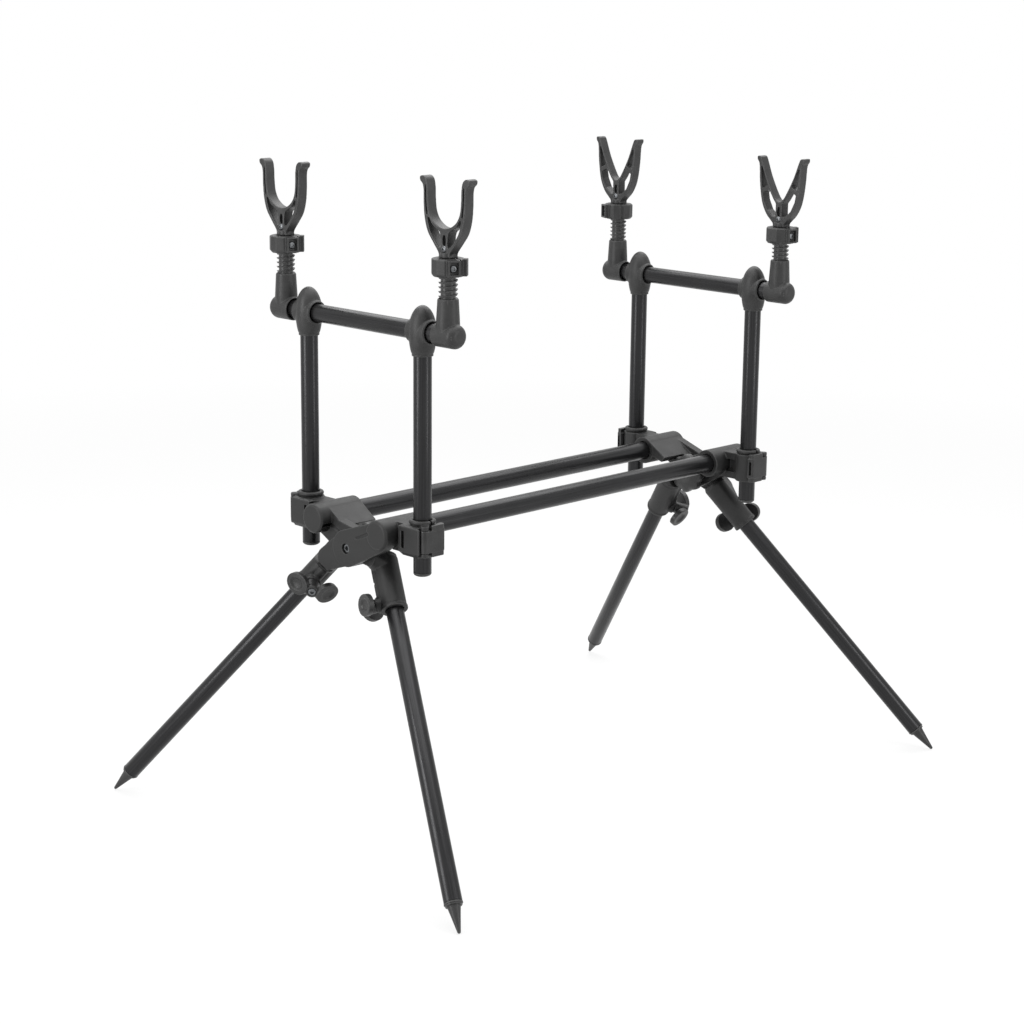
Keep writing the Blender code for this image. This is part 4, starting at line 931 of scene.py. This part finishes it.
head_shape = upright_head()
for end, side in PLACES:
    level_of_bar = middle(f"crossbar_{end}").z
    spot = middle(f"upright_{end}_{side}")
    dress(f"upright_head_{end}_{side}", head_shape, NYLON, at(spot.x, spot.y, level_of_bar))
print("head faces", len(head_shape.polygons))

# %% [markdown]
# On each end of a crossbar sits an elbow, which can be turned on the bar to tilt its rod
# rest. Its barrel ends in a half-round nose, and its boss tapers up to the threaded stud.

# %% Elbows
ELBOW_RADIUS = 0.0106
ELBOW_INBOARD = 0.012
ELBOW_OUTBOARD = 0.015
ELBOW_NOSE = 0.0065
ELBOW_WALL = 0.0032
ELBOW_BOSS_TOP = 0.0318
ELBOW_BOSS_RADIUS = 0.0091
STUD_RADIUS = 0.0078
STUD_LOWEST = 0.0145


def elbow_shape():
    radius = ELBOW_RADIUS
    nose = arc((radius - ELBOW_NOSE, ELBOW_OUTBOARD - ELBOW_NOSE), ELBOW_NOSE, pi / 2, 0.0, 10)
    barrel_shape = turned([
        (0.0, ELBOW_OUTBOARD), *nose, (radius, 0.0006 - ELBOW_INBOARD),
        (radius - 0.0006, -ELBOW_INBOARD),
    ])
    top = ELBOW_BOSS_RADIUS
    boss = turned([
        (top - 0.0008, ELBOW_BOSS_TOP), (top, ELBOW_BOSS_TOP - 0.0010), (radius - 0.0004, radius),
        (radius - 0.0006, 0.002),
    ])
    cuts = [
        moved(cylinder(TUBE_BORE, -ELBOW_INBOARD - 0.01, ELBOW_OUTBOARD - ELBOW_WALL), ALONG_Y),
        moved(countersink(), HALF_TURN @ ALONG_Y @ at(0, 0, ELBOW_INBOARD)),
        cylinder(2 * STUD_RADIUS + 0.0006, STUD_LOWEST, ELBOW_BOSS_TOP + 0.01),
    ]
    solid = combined(moved(barrel_shape, ALONG_Y), add_on=[boss], cut=cuts)
    return moulded(solid, FINE_SKIN)


elbow_mesh = elbow_shape()
outboard = {"left": Matrix(), "right": HALF_TURN}
for end, side in PLACES:
    spot = Matrix.Translation(joint_place(f"elbow_tilt_{end}_{side}"))
    dress(f"elbow_{end}_{side}", elbow_mesh, NYLON, spot @ outboard[side])
print("elbow faces", len(elbow_mesh.polygons))

# %% [markdown]
# A stud's thread is coarse, because it is moulded and must run fast over grit. A thread
# is one ridge swept along a helix. Geometry Nodes draw the helix from the pitch and the
# number of turns, keep the ridge upright on it, and let it fade out at both ends as a
# real thread does. The core is a plain turned rod.

# %% Threads
STUD_CORE = 0.0064
STUD_PITCH = 0.0039
STUD_CREST = 0.0011
STUD_RIDGE_FOOT = 0.0027
STUD_HOLLOW_RADIUS = 0.0046
STUD_HOLLOW_DEPTH = 0.012


def thread_tree():
    tree, given = new_tree("thread", ("Pitch", "Turns", "Core", "Depth", "Crest", "Foot"))
    height = add(tree, "ShaderNodeMath", {0: given["Pitch"], 1: given["Turns"]}, operation="MULTIPLY")
    half = add(tree, "ShaderNodeMath", {0: given["Depth"], 1: 0.5}, operation="MULTIPLY")
    radius = add(tree, "ShaderNodeMath", {0: given["Core"], 1: half}, operation="ADD")
    coil = {
        "Resolution": 40, "Rotations": given["Turns"], "Height": height,
        "Start Radius": radius, "End Radius": radius, "Reverse": True,
    }
    helix = add(tree, "GeometryNodeCurveSpiral", coil)
    upright_helix = add(tree, "GeometryNodeSetCurveNormal", {"Curve": helix}, mode="Z_UP")
    part_way = add(tree, "GeometryNodeSplineParameter").outputs["Factor"]
    from_middle = add(tree, "ShaderNodeMath", {0: part_way, 1: 0.5}, operation="SUBTRACT")
    apart = add(tree, "ShaderNodeMath", {0: from_middle}, operation="ABSOLUTE")
    fade = add(tree, "ShaderNodeMapRange", {
        "Value": apart, "From Min": 0.5, "From Max": 0.46, "To Min": 0.25, "To Max": 1.0,
    })
    section = {
        "Height": given["Depth"], "Bottom Width": given["Foot"], "Top Width": given["Crest"],
        "Offset": 0.0,
    }
    ridge = add(tree, "GeometryNodeCurvePrimitiveQuadrilateral", section, mode="TRAPEZOID")
    sweep = {"Curve": upright_helix, "Profile Curve": ridge, "Scale": fade, "Fill Caps": True}
    swept = add(tree, "GeometryNodeCurveToMesh", sweep)
    return finished(tree, swept, given["Finish"])


def joined(*meshes):
    bm = bmesh.new()
    for mesh in meshes:
        bm.from_mesh(mesh)
    return shape_of(bm)


THREAD = thread_tree()
stud_low, stud_high = span("stud_rear_left", middle("stud_rear_left"), (0, 0, 1))
stud_length = stud_high - stud_low
depth = STUD_RADIUS - STUD_CORE
turns = (stud_length - 0.002) / STUD_PITCH - 1
ridge_mesh = grown(
    THREAD, pitch=STUD_PITCH, turns=turns, core=STUD_CORE - 0.0001, depth=depth, crest=STUD_CREST,
    foot=STUD_RIDGE_FOOT, finish=STUD_NYLON,
)
ridge_mesh.transform(at(0, 0, (stud_length - turns * STUD_PITCH) / 2))
core = turned([
    (STUD_HOLLOW_RADIUS, stud_length - STUD_HOLLOW_DEPTH), (STUD_HOLLOW_RADIUS, stud_length),
    (STUD_CORE - 0.0004, stud_length), (STUD_CORE, stud_length - 0.0004), (STUD_CORE, 0.0004),
    (STUD_CORE - 0.0004, 0.0),
])
stud_mesh = joined(core, ridge_mesh)
for end, side in PLACES:
    node = f"stud_{end}_{side}"
    centre = middle(node)
    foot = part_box(node)[0][2]
    dress(node, stud_mesh, STUD_NYLON, at(centre.x, centre.y, foot), "threaded")

# %% [markdown]
# A lock collar runs down its stud's thread and jams against the rod rest. It is a ring
# with flat facets for the fingers and two lugs. One lug is hollow and holds a small bolt.

# %% Lock collars
COLLAR_RADIUS = 0.0145
COLLAR_HEIGHT = 0.0155
COLLAR_LUG_OUT = 0.0172
COLLAR_LUG_HALF = 0.0055
COLLAR_POCKET = 0.0032
COLLAR_LUG_ANGLE = radians(62.0)
COLLAR_TURN = {
    ("front", "left"): radians(254.0), ("front", "right"): radians(245.0),
    ("rear", "left"): radians(155.0), ("rear", "right"): radians(262.0),
}


def lock_collar():
    radius = COLLAR_RADIUS
    top = COLLAR_HEIGHT
    ring = turned([
        (radius - 0.0014, top), (radius, top - 0.0010), (radius, 0.0022), (radius - 0.0020, 0.0),
    ], 12)
    half = COLLAR_LUG_HALF
    lug = box((radius - 0.006, COLLAR_LUG_OUT), (-half, half), (0.0012, top - 0.0006))
    reach = (radius - 0.006, COLLAR_LUG_OUT - 0.0006)
    plain = box(reach, (-half * 0.7, half * 0.7), (0.0006, top - 0.0002))
    turn = Matrix.Rotation(COLLAR_LUG_ANGLE, 4, "Z")
    hollow = (COLLAR_LUG_OUT - COLLAR_POCKET, COLLAR_LUG_OUT + 0.01)
    pocket = box(hollow, (0.0017 - half, half - 0.0017), (0.0029, top - 0.0023))
    split = box((0.0, 0.03), (half + 0.0008, half + 0.0018), (-0.01, top + 0.01))
    bore = cylinder(2 * STUD_RADIUS + 0.0006, -0.01, top + 0.01)
    solid = combined(ring, add_on=[lug, moved(plain, turn)], cut=[bore, pocket, split])
    return moulded(solid, FINE_SKIN, rounds=3)


def screw_head(radius, height, recess_sides, recess):
    """A low domed head, its seat at 0, with a recess for the driver."""
    dome = [(radius * cos(a), height * sin(a)) for a in np.linspace(1.5, 0.0, 10)]
    head = turned([(0.0, height), *dome, (radius, -0.0006)], 48)
    return combined(head, cut=[cylinder(2 * recess, height * 0.35, height + 0.01, recess_sides)])


collar_mesh = lock_collar()
collar_bolt = screw_head(0.0034, 0.0019, 6, 0.0014)
for end, side in PLACES:
    node = f"lock_collar_{end}_{side}"
    foot = joint_place(f"collar_turn_{end}_{side}")
    place = Matrix.Translation(foot) @ Matrix.Rotation(COLLAR_TURN[end, side], 4, "Z")
    dress(node, collar_mesh, NYLON, place)
    seat = place @ at(COLLAR_LUG_OUT - COLLAR_POCKET, 0, COLLAR_HEIGHT / 2) @ ALONG_X
    bolt = dress(node, collar_bolt, STEEL, seat, screw=f"lock_bolt_{end}_{side}")
print("collar faces", len(collar_mesh.polygons))

# %% [markdown]
# The four rod rests are forks moulded in a tough nylon that gives a little. The front
# ones are shaped like a U and hug a rod's handle. The rear ones are a V. Each is a plate
# about 10 mm thick, and its thick parts are hollowed, as a moulder does to keep a part
# from sinking as it cools. The outline is one smooth line through a few points.

# %% Rod rests
REST_HALF = 0.005
REST_POCKET = 0.0034
REST_SPIGOT = 0.0043
REST_FOOT = 0.0142
REST_SCREW_HEIGHT = 0.0072
REST_EYE = ((0.0, 0.215), 0.070, 0.072)
U_HALF_WIDTH = 0.0300
U_HEIGHT = 0.0665
V_HALF_WIDTH = 0.0284
V_HEIGHT = 0.0670


def rest_shape(half_width, height, right_half, pockets, windows):
    """Outlines are shares of the half width and of the height. The plate is symmetric."""
    def sized(points):
        return [(x * half_width, y * height) for x, y in points]

    half = REST_HALF
    outline = right_half + mirrored(right_half[:-1])
    plate = extruded(sized(outline), -half, half)
    cuts = []
    for points in pockets:
        cuts.append(extruded(sized(points), half - REST_POCKET, half + 0.005))
        cuts.append(extruded(sized(points), -half - 0.005, REST_POCKET - half))
    for points in windows:
        cuts.append(extruded(sized(points), -half - 0.006, half + 0.006))
    collar = moved(cylinder(REST_FOOT, -0.0001, 0.0042), ALONG_Y)
    spigot = moved(cylinder(2 * REST_SPIGOT, -0.011, 0.004), ALONG_Y)
    solid = combined(plate, add_on=[collar, spigot], cut=cuts)
    return moved(moulded(solid, FINE_SKIN), ACROSS)


def u_rest():
    outer = smooth([
        (0.230, 0.0), (0.240, 0.060), (0.450, 0.175), (0.680, 0.310), (0.800, 0.470),
        (0.842, 0.640), (0.850, 0.820), (0.890, 0.895), (0.975, 0.930),
    ])
    inner = smooth([
        (1.000, 0.955), (0.985, 0.990), (0.850, 1.000), (0.730, 0.955), (0.680, 0.850),
        (0.668, 0.700), (0.620, 0.560), (0.480, 0.455), (0.240, 0.385), (0.0, 0.362),
    ])
    pocket = smooth([
        (0.690, 0.530), (0.735, 0.530), (0.775, 0.660), (0.790, 0.870), (0.750, 0.870), (0.735, 0.680),
    ], True, 5)
    lower = smooth([
        (0.150, 0.130), (0.300, 0.165), (0.560, 0.310), (0.680, 0.470), (0.610, 0.480),
        (0.480, 0.395), (0.180, 0.310),
    ], True, 5)
    pockets = [pocket, mirrored(pocket), ellipse(*REST_EYE)]
    return rest_shape(U_HALF_WIDTH, U_HEIGHT, outer + inner, pockets, [lower, mirrored(lower)])


def v_rest():
    outer = smooth([
        (0.250, 0.0), (0.262, 0.050), (0.520, 0.160), (0.700, 0.290), (0.800, 0.440),
        (0.868, 0.650), (0.895, 0.830), (0.925, 0.900), (0.980, 0.930),
    ])
    inner = smooth([
        (1.000, 0.955), (0.985, 0.990), (0.860, 0.985), (0.780, 0.925), (0.560, 0.690),
        (0.240, 0.440), (0.080, 0.365), (0.0, 0.355),
    ])
    upper = [(0.515, 0.585), (0.740, 0.530), (0.782, 0.650), (0.830, 0.850), (0.770, 0.840)]
    lower = [
        (0.140, 0.140), (0.260, 0.145), (0.500, 0.235), (0.660, 0.370), (0.705, 0.470),
        (0.450, 0.525), (0.260, 0.395), (0.140, 0.330),
    ]
    windows = [upper, mirrored(upper), lower, mirrored(lower)]
    return rest_shape(V_HALF_WIDTH, V_HEIGHT, outer + inner, [ellipse(*REST_EYE)], windows)


rest_meshes = {"front": u_rest(), "rear": v_rest()}
rest_screw = screw_head(0.0030, 0.0016, 6, 0.0012)
for end, side in PLACES:
    node = f"rod_rest_{end}_{side}"
    foot = Matrix.Translation(joint_place(f"rest_turn_{end}_{side}"))
    dress(node, rest_meshes[end], REST_NYLON, foot)
    spot = foot @ at(-REST_HALF + 0.0004, 0, REST_SCREW_HEIGHT) @ BACK_ALONG_X
    screw = dress(node, rest_screw, STEEL, spot, screw=f"rest_screw_{end}_{side}")
print("rest faces", len(rest_meshes["front"].polygons))

# %% [markdown]
# A leg is locked by a wing knob: a hub with two oval paddles that droop towards the leg
# and are dished for the thumb. A steel screw runs through the hub and bears on the leg.

# %% Wing knobs
HUB_RADIUS = 0.00625
KNOB_TURN = {1: radians(-72.0), -1: radians(-103.0)}
KNOB_SCREW_HEAD = 0.00375
KNOB_BORE = 0.0056
KNOB_SKIN = 0.00038


def wing_knob():
    hub = turned([
        (HUB_RADIUS - 0.0012, HUB_TOP), (HUB_RADIUS, HUB_TOP - 0.0012), (HUB_RADIUS, HUB_FOOT),
    ])
    half_length = PADDLE_LENGTH / 2
    half_width = PADDLE_WIDTH / 2
    flat = extruded(ellipse((0, 0), half_length, half_width), 0.0, PADDLE_THICKNESS)
    bowl = turned([(0.0092, 0.01), (0.0080, 0.0), (0.0055, -0.0015), (0.0, -0.0021)])
    bowl.transform(Matrix.Diagonal((0.90, 0.72, 1.0, 1.0)))
    moved(bowl, at(0.0006, 0, PADDLE_THICKNESS))
    paddle = combined(flat, cut=[bowl])
    root = at(PADDLE_ROOT_OUT, 0.0, HUB_TOP - PADDLE_ROOT_DROP)
    droop = Matrix.Rotation(PADDLE_TILT, 4, "Y") @ at(half_length, 0.0, 0.0)
    wings = [moved(paddle.copy(), turn @ root @ droop) for turn in (Matrix(), HALF_TURN)]
    through = cylinder(KNOB_BORE, -0.01, HUB_TOP + 0.01)
    seat = cylinder(2 * KNOB_SCREW_HEAD + 0.0006, HUB_TOP - 0.003, HUB_TOP + 0.01)
    solid = combined(hub, add_on=wings, cut=[through, seat])
    return moulded(solid, KNOB_SKIN)


def knob_screw():
    top = HUB_TOP + 0.0004
    head = KNOB_SCREW_HEAD
    shank = turned([
        (head - 0.0010, top), (head - 0.0002, top - 0.0005), (head, top - 0.0012),
        (head, HUB_TOP - 0.0027), (0.0025, HUB_TOP - 0.0027), (0.0025, 0.0089), (0.0019, 0.0083),
    ])
    return combined(shank, cut=[cylinder(0.0036, top - 0.0018, top + 0.01, 6)])


knob_mesh = wing_knob()
knob_screw_mesh = knob_screw()
for end, side in PLACES:
    turn = KNOB_TURN[-sign(end, side)]
    place = leg_frame(end, side) @ KNOB_AXIS @ Matrix.Rotation(turn, 4, "Z")
    dress(f"wing_knob_{end}_{side}", knob_mesh, KNOB_NYLON, place)
    dress(f"knob_screw_{end}_{side}", knob_screw_mesh, STEEL, place, "steel")
print("knob faces", len(knob_mesh.polygons))

# %% [markdown]
# The upright's clamp is closed by a short lever on an upright pin. Its inner side is
# rounded to the sleeve, and it ends in a hollow that a finger can catch.

# %% Clamp levers
LEVER_FACE = 0.0167
LEVER_HALF = 0.0126
LEVER_INSIDE = 0.0100
LEVER_HOLLOW = 0.006
LEVER_WALL = 0.0022


def clamp_lever(side):
    """The lever as it sits when closed, drawn about the upright's axis."""
    height = 2 * CLAMP_HALF - 2 * CHEEK - 2 * FIT_GAP
    corner = 0.0022
    inside = SLEEVE_DIAMETER / 2 + 2 * FIT_GAP
    end_x = PIN_ALONG + KNUCKLE - 0.0004
    hollow_of_sleeve = [(inside * cos(a), inside * sin(a)) for a in np.linspace(2.25, 1.34, 14)]
    outline = [
        (end_x - 0.001, PIN_OUT), (end_x - 0.002, LEVER_FACE - 0.0012), (end_x - 0.0042, LEVER_FACE),
        (corner - LEVER_HALF, LEVER_FACE), (-LEVER_HALF, LEVER_FACE - corner),
        (-LEVER_HALF, LEVER_INSIDE), (-PIN_ALONG, LEVER_INSIDE - 0.0006), *hollow_of_sleeve,
        (PIN_ALONG - 0.0048, PIN_OUT + 0.0004),
    ]
    shoe = extruded([(x, side * y) for x, y in outline], 0.0004 - height / 2, height / 2 - 0.0004)
    tall_outline = [
        (PIN_ALONG - 0.0052, PIN_OUT + 0.0018), (PIN_ALONG - 0.0052, LEVER_FACE - 0.0004),
        (corner - LEVER_HALF + 0.0004, LEVER_FACE - 0.0004), (0.0006 - LEVER_HALF, LEVER_FACE - corner),
        (0.0006 - LEVER_HALF, LEVER_INSIDE + 0.0008), (-inside * 0.60, inside * 0.83),
        (-inside * 0.32, inside * 0.97), (0.0, inside * 1.022),
    ]
    tall = extruded([(x, side * y) for x, y in tall_outline], -CLAMP_HALF, CLAMP_HALF)
    pin = at(PIN_ALONG, side * PIN_OUT, 0)
    knuckle = moved(cylinder(2 * KNUCKLE, -height / 2, height / 2), pin)
    bolt = moved(cylinder(0.0026, 0.0004 - CLAMP_HALF, CLAMP_HALF - CHEEK / 2 - FIT_GAP), pin)
    hollow = box(
        (-LEVER_HALF - 0.01, LEVER_HOLLOW - LEVER_HALF),
        (side * (LEVER_INSIDE + LEVER_WALL), side * (LEVER_FACE - LEVER_WALL)),
        (-CLAMP_HALF / 2, CLAMP_HALF / 2),
    )
    solid = combined(shoe, add_on=[tall, knuckle, bolt], cut=[hollow])
    return moulded(solid, FINE_SKIN, rounds=3)


lever_meshes = {side: clamp_lever(side) for side in (1, -1)}
for end, side in PLACES:
    local = sign(end, side)
    place = end_frame[end] @ at(0, local * post_y, bar_z)
    dress(f"clamp_lever_{end}_{side}", lever_meshes[local], KNOB_NYLON, place)
print("lever faces", len(lever_meshes[1].polygons))

# %% [markdown]
# The hand nut on the pivot bolt is a dome with eight lobes. Its rings follow a rule: each
# has a radius, a height, and a wave that pulls it in between the lobes.

# %% Hand nuts and pivot bolts
NUT_RADIUS = 0.020
NUT_DEPTH = 0.016
NUT_LOBES = 8
NUT_SIDES = 128
NUT_BOSS = 0.011
NUT_BORE = 0.0033


def lobed(rings, lobes, sides):
    """A closed shape through rings of (radius, height, wave), from the outer end inwards."""
    bm = bmesh.new()
    loops = []
    for radius, height, wave in rings:
        loop = []
        for i in range(sides):
            a = 2 * pi * i / sides
            reach = radius - wave * (1 - cos(lobes * a)) / 2
            loop.append(bm.verts.new((reach * cos(a), reach * sin(a), height)))
        loops.append(loop)
    for upper, lower in zip(loops, loops[1:] + loops[:1]):
        for i in range(sides):
            j = (i + 1) % sides
            bm.faces.new((upper[i], lower[i], lower[j], upper[j]))
    bmesh.ops.recalc_face_normals(bm, faces=bm.faces)
    return shape_of(bm)


def hand_nut():
    dome = []
    for a in np.linspace(1.15, 0.10, 9):
        radius = NUT_RADIUS * cos(a)
        wave = 0.0022 * (radius / NUT_RADIUS) ** 4
        dome.append((radius, 0.0100 + (NUT_DEPTH - 0.0100) * sin(a) / sin(1.15), wave))
    rings = [
        (NUT_BORE, NUT_DEPTH - 0.0008, 0.0), (NUT_BORE + 0.0010, NUT_DEPTH - 0.0001, 0.0), *dome,
        (NUT_RADIUS, 0.0085, 0.0022), (NUT_RADIUS - 0.0004, 0.0050, 0.0022),
        (NUT_RADIUS - 0.0020, 0.0042, 0.0018), (NUT_BOSS + 0.0010, 0.0036, 0.0),
        (NUT_BOSS, 0.0028, 0.0), (NUT_BOSS, 0.0003, 0.0), (NUT_BOSS - 0.0004, 0.0, 0.0),
        (NUT_BORE, 0.0, 0.0),
    ]
    return lobed(rings, NUT_LOBES, NUT_SIDES)


def pivot_bolt(node, centre):
    """The bolt along X, its head at the outer arm. Its length is the node's own."""
    low, high = span(node, centre, (1, 0, 0))
    length = high - low
    shank = turned([
        (0.0036, 0.0), (0.0044, -0.0007), (0.0044, -0.0040), (0.0030, -0.0040),
        (0.0030, 0.0006 - length), (0.0024, -length),
    ])
    return combined(shank, cut=[cylinder(0.0048, -0.0022, 0.01, 6)])


nut_mesh = hand_nut()
for end in ENDS:
    seat = Matrix.Translation(end_frame[end].inverted() @ joint_place(f"hand_nut_turn_{end}"))
    dress(f"hand_nut_{end}", nut_mesh, KNOB_NYLON, end_frame[end] @ seat @ BACK_ALONG_X)
    node = f"pivot_bolt_{end}"
    outwards = 1 if end == "rear" else -1
    centre = middle(node)
    reach = span(node, centre, (outwards, 0, 0))[1]
    head = Matrix.Translation(centre) @ at(outwards * reach, 0, 0)
    turn = Matrix.Rotation(outwards * pi / 2, 4, "Y")
    dress(node, pivot_bolt(node, centre), STEEL, head @ turn, "steel")
print("hand nut faces", len(nut_mesh.polygons))

# %% [markdown]
# The leg spikes and the plugs in the uprights' lower ends are plain turned shapes, with a
# ring where they meet the tube.

# %% Spikes and plugs
SPIKE_LENGTH = 0.027
SPIGOT_LENGTH = 0.012
SPIKE_SPIGOT = 0.0067


def leg_spike():
    tip = SPIKE_LENGTH
    cone = [
        (0.0015 + (0.0059 - 0.0015) * t, -0.0031 - (tip - 0.0031 - 0.0012) * (1 - t) ** 1.06)
        for t in np.linspace(1.0, 0.0, 12)
    ]
    return turned([
        (SPIKE_SPIGOT, SPIGOT_LENGTH), (SPIKE_SPIGOT, -FIT_GAP), (TUBE_RADIUS, -FIT_GAP),
        (TUBE_RADIUS + 0.0002, -0.0005), (TUBE_RADIUS + 0.0002, -0.0013),
        (TUBE_RADIUS - 0.0002, -0.0016), (TUBE_RADIUS - 0.0006, -0.0019),
        (TUBE_RADIUS - 0.0007, -0.0030), *cone, (0.0010, -tip + 0.0003), (0.0, -tip),
    ])


def end_plug():
    return turned([
        (SPIKE_SPIGOT, SPIGOT_LENGTH), (SPIKE_SPIGOT, -FIT_GAP), (TUBE_RADIUS - 0.0001, -FIT_GAP),
        (TUBE_RADIUS, -0.0006), (TUBE_RADIUS, -0.0012), (TUBE_RADIUS - 0.0004, -0.0020),
        (TUBE_RADIUS - 0.0013, -0.0028), (TUBE_RADIUS - 0.0024, -0.0033), (0.0, -0.0034),
    ])


spike_mesh = leg_spike()
plug_mesh = end_plug()
for end, side in PLACES:
    leg = leg_frame(end, side)
    down = leg.to_3x3() @ Vector((0, 0, 1))
    tip = span(f"leg_spike_{end}_{side}", leg.translation, down)[1]
    place = leg @ at(0, 0, tip - SPIKE_LENGTH) @ UPSIDE_DOWN
    dress(f"leg_spike_{end}_{side}", spike_mesh, SPIKE_NYLON, place)
    spot = middle(f"upright_{end}_{side}")
    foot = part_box(f"upright_{end}_{side}")[0][2]
    dress(f"end_plug_{end}_{side}", plug_mesh, NYLON, at(spot.x, spot.y, foot))
print("spike faces", len(spike_mesh.polygons))

# %% [markdown]
# The studio is a pale floor, white surroundings and four soft lamps. The camera and every
# reflection see white all round, while the lamps and a weaker glow light the surfaces, so
# that a colour renders about as it is written. The floor looks almost white from the
# camera but is part real, and so it keeps the stand's soft shadow.

# %% Floor, surroundings and lamps
FLOOR_HALF = 30.0
FLOOR_THICKNESS = 0.02
WHITE_FROM = 0.5
WHITE_AT = 2.2
WHITE_SHARE = 0.78
GLOW = 0.35
AIM = Vector((0.0, 0.0, 0.30))


def seen_directly(tree):
    """1 for camera, mirror and glass rays, and 0 for the rays that light surfaces."""
    ray = add(tree, "ShaderNodeLightPath").outputs
    two = {0: ray["Is Camera Ray"], 1: ray["Is Glossy Ray"]}
    either = add(tree, "ShaderNodeMath", two, operation="MAXIMUM")
    return add(tree, "ShaderNodeMath", {0: either, 1: ray["Is Transmission Ray"]}, operation="MAXIMUM")


def studio_floor():
    made, tree = new_material("studio_floor_paper")
    real = add(tree, "ShaderNodeBsdfDiffuse", {"Color": linear("#f2f2f2")})
    paper = add(tree, "ShaderNodeEmission", {"Color": linear("#ffffff"), "Strength": 1.0})
    place = add(tree, "ShaderNodeTexCoord").outputs["Object"]
    far = add(tree, "ShaderNodeVectorMath", {0: place}, operation="LENGTH").outputs["Value"]
    white_out = add(tree, "ShaderNodeMapRange", {
        "Value": far, "From Min": WHITE_FROM, "From Max": WHITE_AT, "To Min": WHITE_SHARE,
    })
    share = add(tree, "ShaderNodeMath", {0: seen_directly(tree), 1: white_out}, operation="MULTIPLY")
    mixed = add(tree, "ShaderNodeMixShader", {0: share, 1: real, 2: paper})
    add(tree, "ShaderNodeOutputMaterial", {"Surface": mixed})
    return made


def lamp(name, offset, size, power):
    light = bpy.data.lights.new(name, "AREA")
    light.shape = "RECTANGLE"
    light.size, light.size_y = size
    light.energy = power
    made = shown(name, light)
    made.location = AIM + offset
    made.rotation_euler = (-offset).to_track_quat("-Z", "Y").to_euler()


whole = (-FLOOR_HALF, FLOOR_HALF)
floor = shown("studio_floor", box(whole, whole, (-FLOOR_THICKNESS, 0.0)))
floor.data.materials.append(studio_floor())

world = bpy.data.worlds.new("white_surroundings")
world.use_nodes = True
tree = world.node_tree
tree.nodes.clear()
brightness = add(tree, "ShaderNodeMapRange", {"Value": seen_directly(tree), "To Min": GLOW})
sky = add(tree, "ShaderNodeBackground", {"Color": linear("#ffffff"), "Strength": brightness})
add(tree, "ShaderNodeOutputWorld", {"Surface": sky})
bpy.context.scene.world = world

to_camera = -heading
lamp("overhead_softbox", Vector((0, 0, 1.65)) + to_camera * 0.25, (2.4, 1.9), 34.0)
lamp("top_back_softbox", heading * 0.85 + Vector((0, 0, 1.25)), (2.2, 0.8), 17.0)
lamp("key_softbox", to_camera * 1.0 - level * 1.6 + Vector((0, 0, 0.45)), (0.45, 1.4), 16.0)
lamp("fill_softbox", to_camera * 1.1 + level * 1.7 + Vector((0, 0, 0.30)), (0.35, 1.4), 10.0)

# %% Updating the scene
bpy.context.view_layer.update()
